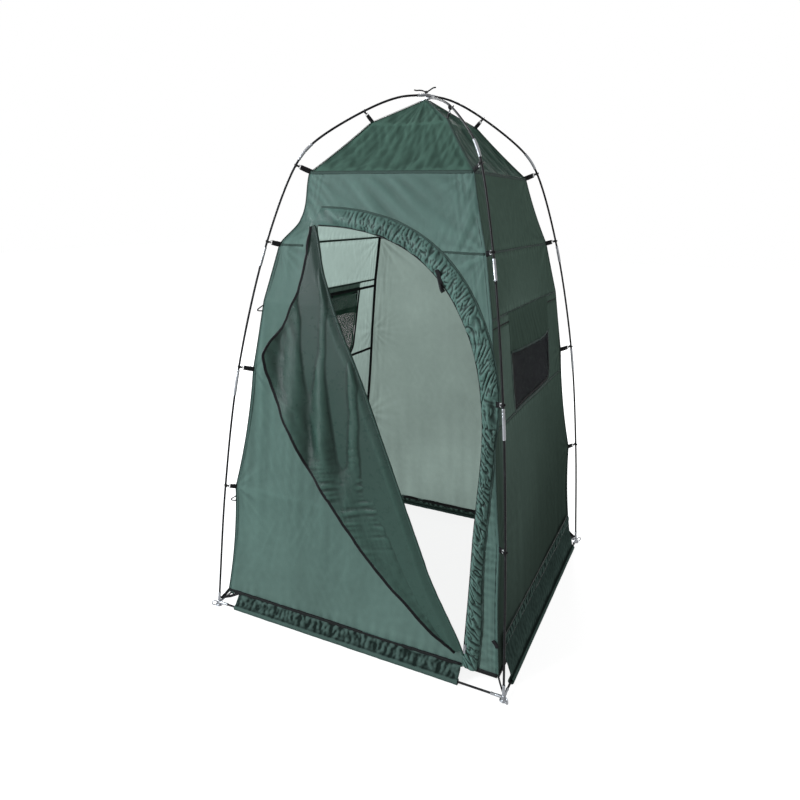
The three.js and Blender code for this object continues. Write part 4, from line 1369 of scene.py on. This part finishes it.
def add_skirt(side):
    tall = side in ("left", "right")
    start, end = -SKIRT_HALF, FRONT_SKIRT_END if side == "front" else SKIRT_HALF
    path = evenly(skirt_line(side), 66 if tall else 48)
    reach = distances(path)
    u = np.linspace(start, end, 230)
    uu, rr = np.meshgrid(u, reach)
    slope = np.gradient(path, axis=0)
    normal = unit(np.stack([-slope[:, 1], slope[:, 0]], -1))
    wave = skirt_folds(tall, uu, rr, reach[-1], 700 + 11 * SIDES.index(side))
    out, z = (path[:, k][:, None] + normal[:, k][:, None] * wave for k in (0, 1))
    points = on_side(side, uu, out, np.maximum(z, 0.0012))
    form = Form()
    points = form.sheet(points, np.stack([uu, rr], -1), OUTWARD[side])
    add_sheet(form, f"{side}_skirt_cloth", SKIRT, "skirt_cloth", f"{side}_skirt")
    tape = Form()
    line = on_side(side, u[::3], path[0, 0] + 0.0008, path[0, 1] - 0.001)
    tape.strip(line, OUTWARD[side], 0.013, 0.0012)
    if tall:  # the lower edge of the ruffled band
        row = int(np.argmin(np.abs(reach - 0.044)))
        tape.strip(points[row, ::3], OUTWARD[side], 0.007, 0.0012, 0.0004)
    look, slot = (SKIRT_SEAM, "skirt_cloth") if tall else (BINDING, "webbing")
    tape.object(f"{side}_skirt_tape", look, slot)


for side in SIDES:
    add_skirt(side)

# ---------------------------------------------------------------- seams


INNER_SEAMS = {"front": (), "right": (1.300, 0.957), "left": (1.300, 0.957), "back": (DOOR_SEAM_Z,)}
DOOR_SEAM_ENDS = (-0.318, 0.196)  # where the front's seam stops on either side of the door
BACK_INNER_SEAM = 0.07


def add_seams():
    """The taped seams outside, and the bound ones inside."""
    outside, inside = Form(), Form()
    for side in SIDES:
        out = np.array(OUTWARD[side], float)
        for seam_z in SEAMS[side]:
            half = float(corner_half(seam_z)) - 0.004
            spans = [(-half, half)]
            if side == "front":
                spans = [(-half, DOOR_SEAM_ENDS[0]), (DOOR_SEAM_ENDS[1], half)]
            for a, b in spans:
                u = np.linspace(a, b, max(8, int((b - a) / 0.010)))
                z = np.full(len(u), seam_z)
                line = wall_point(side, u, z)
                if side == "front" and b < 0:
                    share = (u + corner_half(seam_z)) / (fold_point(z)[:, 0] + corner_half(seam_z))
                    line = panel_point(share, z)
                outside.strip(line, out, 0.009, 0.0009, 0.0002)
        for seam_z in INNER_SEAMS[side]:
            half = float(corner_half(seam_z)) - 0.008
            u = np.linspace(-half, -half + BACK_INNER_SEAM if side == "back" else half, 90)
            inside.strip(wall_point(side, u, np.full(len(u), seam_z)), -out, 0.013, 0.0010, 0.0002)
        half = float(corner_half(EAVES_Z)) - 0.002
        u = np.linspace(-half, half, 70)
        line = wall_point(side, u, np.full(70, EAVES_Z - 0.003))
        outside.strip(line, out, 0.012, 0.0010, 0.0004)
        inside.strip(line - out * 0.001, -out, 0.014, 0.0010, 0.0002)
    for leg, (sx, sy) in LEGS.items():
        diagonal = unit((sx, sy, 0))
        z = np.linspace(HEM_Z, EAVES_Z, 180)
        line = at_corner(leg, corner_half(z), z) - diagonal * 0.002
        outside.strip(drawn_in(line), unit((sy, -sx, 0)), 0.012, 0.0012, -0.0006)
        z = np.linspace(EAVES_Z, APEX_Z - 0.002, 60)
        line = at_corner(leg, corner_half(z), z + 0.001)
        up = unit((sx * 0.6, sy * 0.6, 0.8))
        outside.strip(line, up, 0.010, 0.0012, 0.0002)
    outside.object("seam_tapes", SEAM, "wall_cloth")
    inside.object("inner_bindings", BINDING, "webbing")


add_seams()


def add_hems():
    """The hem band of each wall: outside and inside, and outside only on the jamb beside the door."""
    form = Form()
    half = float(corner_half(HEM_Z + 0.01)) - 0.004
    spans = [(side, -half, FRONT_SKIRT_END if side == "front" else half, 120, (1, -1)) for side in SIDES]
    for side, start, end, count, faces in [*spans, ("front", 0.487, half, 16, (1,))]:
        z = np.full(count, HEM_Z + 0.008)
        line = on_side(side, np.linspace(start, end, count), corner_half(z), z)
        for face in faces:
            form.strip(line, face * np.array(OUTWARD[side], float), 0.018, 0.0012, 0.0006)
    form.object("hem_bands", BINDING, "webbing")


add_hems()

# ---------------------------------------------------------------- webbing, hooks and rings


C_HOOK_R = 0.0078
C_HOOK_THICK = 0.0026


def c_hook(form, centre, tangent, outward, wide):
    """A moulded hook that snaps round a pole: a rounded band bent to a C; the stub at its back is drawn with
    the strap.
    """
    x = unit(outward - tangent * (outward @ tangent))
    y = np.cross(tangent, x)
    angle = np.linspace(math.radians(52), math.radians(308), 30)
    line = centre + C_HOOK_R * (np.outer(np.cos(angle), x) + np.outer(np.sin(angle), y))
    radii = np.full(len(angle), C_HOOK_THICK / 2)
    radii[[0, -1]] = 0.0007
    form.tube(line, radii, 12, flat=wide / C_HOOK_THICK)


def band(form, line, flat, wide, thick):
    """A webbing strap between points, `flat` being the direction of its thickness."""
    line = np.asarray(line, float)
    line = evenly(line, max(6, int(distances(line)[-1] / 0.003)))
    form.strip(line, flat, wide, thick / 1.12, -thick / 2)


def add_strap(leg, row, height, straps, hooks, rings):
    """A strap from one corner of the cloth, through a ring, to the hook on the pole."""
    diagonal, flat = corner_ways(leg)
    curve = CURVES[leg]
    t = curve.at_height(height)
    pole, tangent = curve.point(t), curve.direction(t)
    start = at_corner(leg, CORNER_R[row], CORNER_Z[row]) - diagonal * 0.010
    way = unit(pole - start)
    reach = float(np.linalg.norm(pole - start))
    ring_at = pole - way * 0.0165
    end = ring_at - way * 0.0028
    wide = 0.014 if row == ROOF_ROW else 0.019
    upright = unit(np.cross(way, flat))
    middle = start + (end - start) * 0.5 + (0, 0, -0.0015)
    band(straps, [start, middle, end], flat, wide, 0.0016)
    band(straps, [start + way * 0.008 + flat * 0.0019, end + flat * 0.0021], flat, wide * 0.94, 0.0015)
    stitched = start + way * (0.35 * reach) - flat * 0.0014
    band(straps, [stitched - way * 0.003, stitched + way * 0.003], flat, wide, 0.0012)
    ring(straps, end + way * 0.0008, upright, 0.0021, 0.0009, 16, 8)
    oval = (0.72, 1.0) if abs(upright[2]) > 0.5 else (1.0, 0.72)
    ring(rings, ring_at, flat, 0.0066, 0.0014, 28, 10, oval)
    stub = [ring_at + way * 0.0020, ring_at + way * 0.0060, pole - way * 0.0070]
    hooks.tube(evenly(np.array(stub), 8), np.linspace(0.0030, 0.0022, 8), 12, flat=1.35)
    c_hook(hooks, pole, tangent, way, 0.0090)


def corner_ways(leg):
    """Straight out from a corner, and level across that way."""
    sx, sy = LEGS[leg]
    return unit((sx, sy, 0)), unit((-sy, sx, 0))


def add_corner_tape(leg):
    """The binding inside a corner, from the hem to the eaves and on up the roof's hip."""
    sx, sy = LEGS[leg]
    form = Form()
    z = np.linspace(HEM_Z + 0.002, EAVES_Z - 0.004, 150)
    line = at_corner(leg, corner_half(z) - 0.005, z)
    form.strip(drawn_in(line), -corner_ways(leg)[0], 0.014, 0.0012)
    z = np.linspace(EAVES_Z - 0.004, APEX_Z - 0.020, 60)
    line = at_corner(leg, corner_half(z) - 0.004, z - 0.005)
    form.strip(line, (-sx * 0.5, -sy * 0.5, -0.7), 0.012, 0.0012)
    form.object(f"corner_tape_{leg}", BINDING, "webbing")


def add_foot_straps(leg, straps, rings):
    """The straps that tie a corner's hem, and the skirts beside it, down to the ground fitting."""
    sx, sy = LEGS[leg]
    diagonal, flat = corner_ways(leg)
    hem = at_corner(leg, CORNER_R[0] - 0.006, HEM_Z + 0.016)
    foot = at_corner(leg, BASE_HALF - 0.007, BASE_POLE_Z + 0.016)
    band(straps, [hem, (hem + foot) / 2 - (0, 0, 0.002), foot], flat, 0.014, 0.0018)
    ring(rings, foot + diagonal * 0.0005 + (0, 0, 0.0005), flat, 0.0060, 0.0012, 24, 8)
    far, near = CORNER_R[0] - 0.062, CORNER_R[0] + 0.002
    for along_x in (False, True):
        if leg == "front_right" and along_x:  # the doorway
            continue
        x, y = (far, near) if along_x else (near, far)
        start = np.array([sx * x, sy * y, HEM_Z + 0.010])
        end = foot + (0, 0, 0.004)
        middle = (end - start) * 0.5 + start - (0, 0, 0.004)
        face = (0, sy, 0.15) if along_x else (sx, 0, 0.15)
        band(straps, [start, middle, end], unit(face), 0.012, 0.0014)


def add_webbing(leg):
    straps, hooks, rings = Form(), Form(), Form()
    for row, (_, height) in zip(HOOK_ROWS, HOOKS_ON_POLE):
        add_strap(leg, row, height, straps, hooks, rings)
    add_foot_straps(leg, straps, rings)
    straps.object(f"straps_{leg}", WEBBING, "webbing", replaces=[f"{leg}_webbing"])
    hooks.object(f"strap_hooks_{leg}", PLASTIC, "webbing")
    rings.object(f"strap_rings_{leg}", RING, "steel")
    add_corner_tape(leg)


for leg in LEGS:
    add_webbing(leg)


TOGGLE_RADII_MM = [2.0, 3.0, 3.4, 3.4, 3.4, 3.4, 3.4, 3.4, 3.0, 2.0]
TAB_Z = [1.492, 1.478, 1.452, 1.428, 1.418]
TAB_X = [0.252, 0.262, 0.272, 0.279, 0.284]
TAB_LIFT = [0.016, 0.018, 0.017, 0.012, 0.006]


def add_tie_loops(form):
    """The two tie loops on the front left corner."""
    t = np.linspace(0, 1, 22)
    belly = np.sin(math.pi * t)
    for z in (1.305, 0.500):
        loop = np.stack([-0.026 * belly, -0.004 * belly, 0.022 * (t - 0.5) - 0.010 * belly], -1)
        form.strip(at_corner("front_left", corner_half(z), z) + loop, OUTWARD["front"], 0.005, 0.0012)


def add_toggle(form):
    """The toggle that holds the rolled door by the arch, on its tab."""
    tab = wall_point("front", TAB_X, TAB_Z) - np.outer(TAB_LIFT, (0, 1, 0))
    form.strip(evenly(tab, 16), (0.3, -1, 0), 0.016, 0.0018)
    toggle = wall_point("front", np.array([0.274, 0.280]), np.array([1.448, 1.428])) - (0, 0.021, 0)
    form.tube(evenly(toggle, 10), np.array(TOGGLE_RADII_MM) / 1000, 12)


def add_small_straps():
    """The tie loops, the toggle, the low tab by the front right leg, and the loop at the crown."""
    form = Form()
    add_tie_loops(form)
    add_toggle(form)
    x, z = np.array([(0.583, 0.200), (0.596, 0.188), (0.602, 0.176)]).T
    low = on_side("front", x, corner_half(z) + 0.004, z)
    form.strip(evenly(low, 10), OUTWARD["front"], 0.014, 0.0016)
    t = np.linspace(0, math.pi, 24)
    loop = np.stack([0.0085 * np.cos(t), 0.004 * np.cos(t), 0.0095 * np.sin(t)], -1)
    form.strip(loop + (0, 0, APEX_Z - 0.004), loop + (0, 0, 1e-4), 0.010, 0.0012)
    form.object("small_straps", WEBBING, "webbing")


add_small_straps()

# ---------------------------------------------------------------- zip slider


SECTION_SQUARENESS = 0.45


def block(form, centre, size, basis, rounded_by=0.25):
    """A block with rounded sides, its section drawn across the first axis."""
    x, y, z = (unit(v) for v in basis)
    t = np.linspace(0, 2 * math.pi, 33)[:-1]
    a, b = (
        np.sign(wave) * np.abs(wave) ** SECTION_SQUARENESS * across / 2
        for wave, across in ((np.cos(t), size[1]), (np.sin(t), size[2]))
    )
    half = [(0.38, 1.0), (0.46, 0.94), (0.5, 1 - rounded_by)]
    rings = [
        np.asarray(centre) + x * share * size[0] + grow * (np.outer(a, y) + np.outer(b, z))
        for share, grow in [*((-share, grow) for share, grow in half[::-1]), *half]
    ]
    form.closed(np.array(rings))


def add_slider():
    """The zip's slider: two plates, a post and a bridge; and its pull: a ring and a stepped plate."""
    low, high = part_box("zip_slider")
    centre = np.array((low + high) / 2)
    up = unit(np.array([0, CORNER_R[0] - CORNER_R[1], CORNER_Z[1] - CORNER_Z[0]]))
    side = np.array([1.0, 0, 0])
    out = np.cross(up, side)
    out = out if out[1] < 0 else -out
    ways = (up, side, out)
    form = Form()
    block(form, centre - out * 0.0013, (0.019, 0.0110, 0.0016), ways)
    block(form, centre + out * 0.0013, (0.019, 0.0105, 0.0016), ways)
    block(form, centre + up * 0.0052, (0.007, 0.0030, 0.0034), ways)
    bridge = centre + out * 0.0020 + np.outer(np.sin(np.linspace(0, math.pi, 14)) * 0.0026, out)
    bridge = bridge + np.outer(np.linspace(-0.0060, 0.0066, 14), up)
    form.tube(bridge, 0.0010, 10, flat=1.4)
    form.object("slider_body", STEEL, "steel", "zip_slider", ["zip_slider"])

    low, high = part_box("zip_pull")
    centre = np.array((low + high) / 2)
    length = float(high.z - low.z)
    form = Form()
    top = centre + up * (length / 2 - 0.004)
    ring(form, top, out, 0.0031, 0.00085, 24, 8)
    block(form, centre - up * 0.0035, (length - 0.010, 0.0072, 0.0015), ways, 0.4)
    block(form, centre - up * 0.0075 + out * 0.0003, (length * 0.42, 0.0050, 0.0018), ways, 0.4)
    form.object("pull_plate", STEEL, "steel", "zip_pull", ["zip_pull"])


add_slider()

# ---------------------------------------------------------------- studio


FLOOR_HALF = 20
FLOOR_GLOW = 0.87


def add_floor():
    """A pale floor that is nearly its own light, so that it runs into the white background."""
    mesh = bpy.data.meshes.new("floor")
    square = [(-1, -1), (1, -1), (1, 1), (-1, 1)]
    mesh.from_pydata([(x * FLOOR_HALF, y * FLOOR_HALF, 0) for x, y in square], [], [(0, 1, 2, 3)])
    look = Look("floor_look")
    tone = look.mix(look.noise(0.6, 2.0), (0.15, 0.15, 0.15, 1), (0.18, 0.18, 0.18, 1))
    look.shader.inputs["Roughness"].default_value = 0.9
    look.shader.inputs["Emission Color"].default_value = (1, 1, 1, 1)
    look.shader.inputs["Emission Strength"].default_value = FLOOR_GLOW
    mesh.materials.append(look.surface(0.1, Base_Color=tone))
    floor = bpy.data.objects.new("floor", mesh)
    bpy.context.scene.collection.objects.link(floor)


def add_light(name, place, target, size, power, colour=(1, 1, 1)):
    data = bpy.data.lights.new(name, "AREA")
    data.size, data.energy, data.color = size, power, colour
    light = bpy.data.objects.new(name, data)
    bpy.context.scene.collection.objects.link(light)
    light.location = place
    light.rotation_euler = (Vector(target) - Vector(place)).to_track_quat("-Z", "Y").to_euler()


add_floor()
add_light("key", (-3.4, -4.2, 3.4), (0, 0, 1.1), 2.6, 700, (0.94, 1.0, 1.04))
add_light("back", (-2.2, 5.0, 3.0), (0, 0, 1.0), 3.0, 560)
add_light("left", (-5.2, 1.6, 2.8), (0, 0, 1.0), 2.8, 460, (0.97, 1.0, 1.02))
world = bpy.data.worlds.new("studio")
world.use_nodes = True
world.node_tree.nodes["Background"].inputs["Color"].default_value = (1, 1, 1, 1)
world.node_tree.nodes["Background"].inputs["Strength"].default_value = 1.0
bpy.context.scene.world = world
bpy.context.scene.view_settings.view_transform = "Standard"
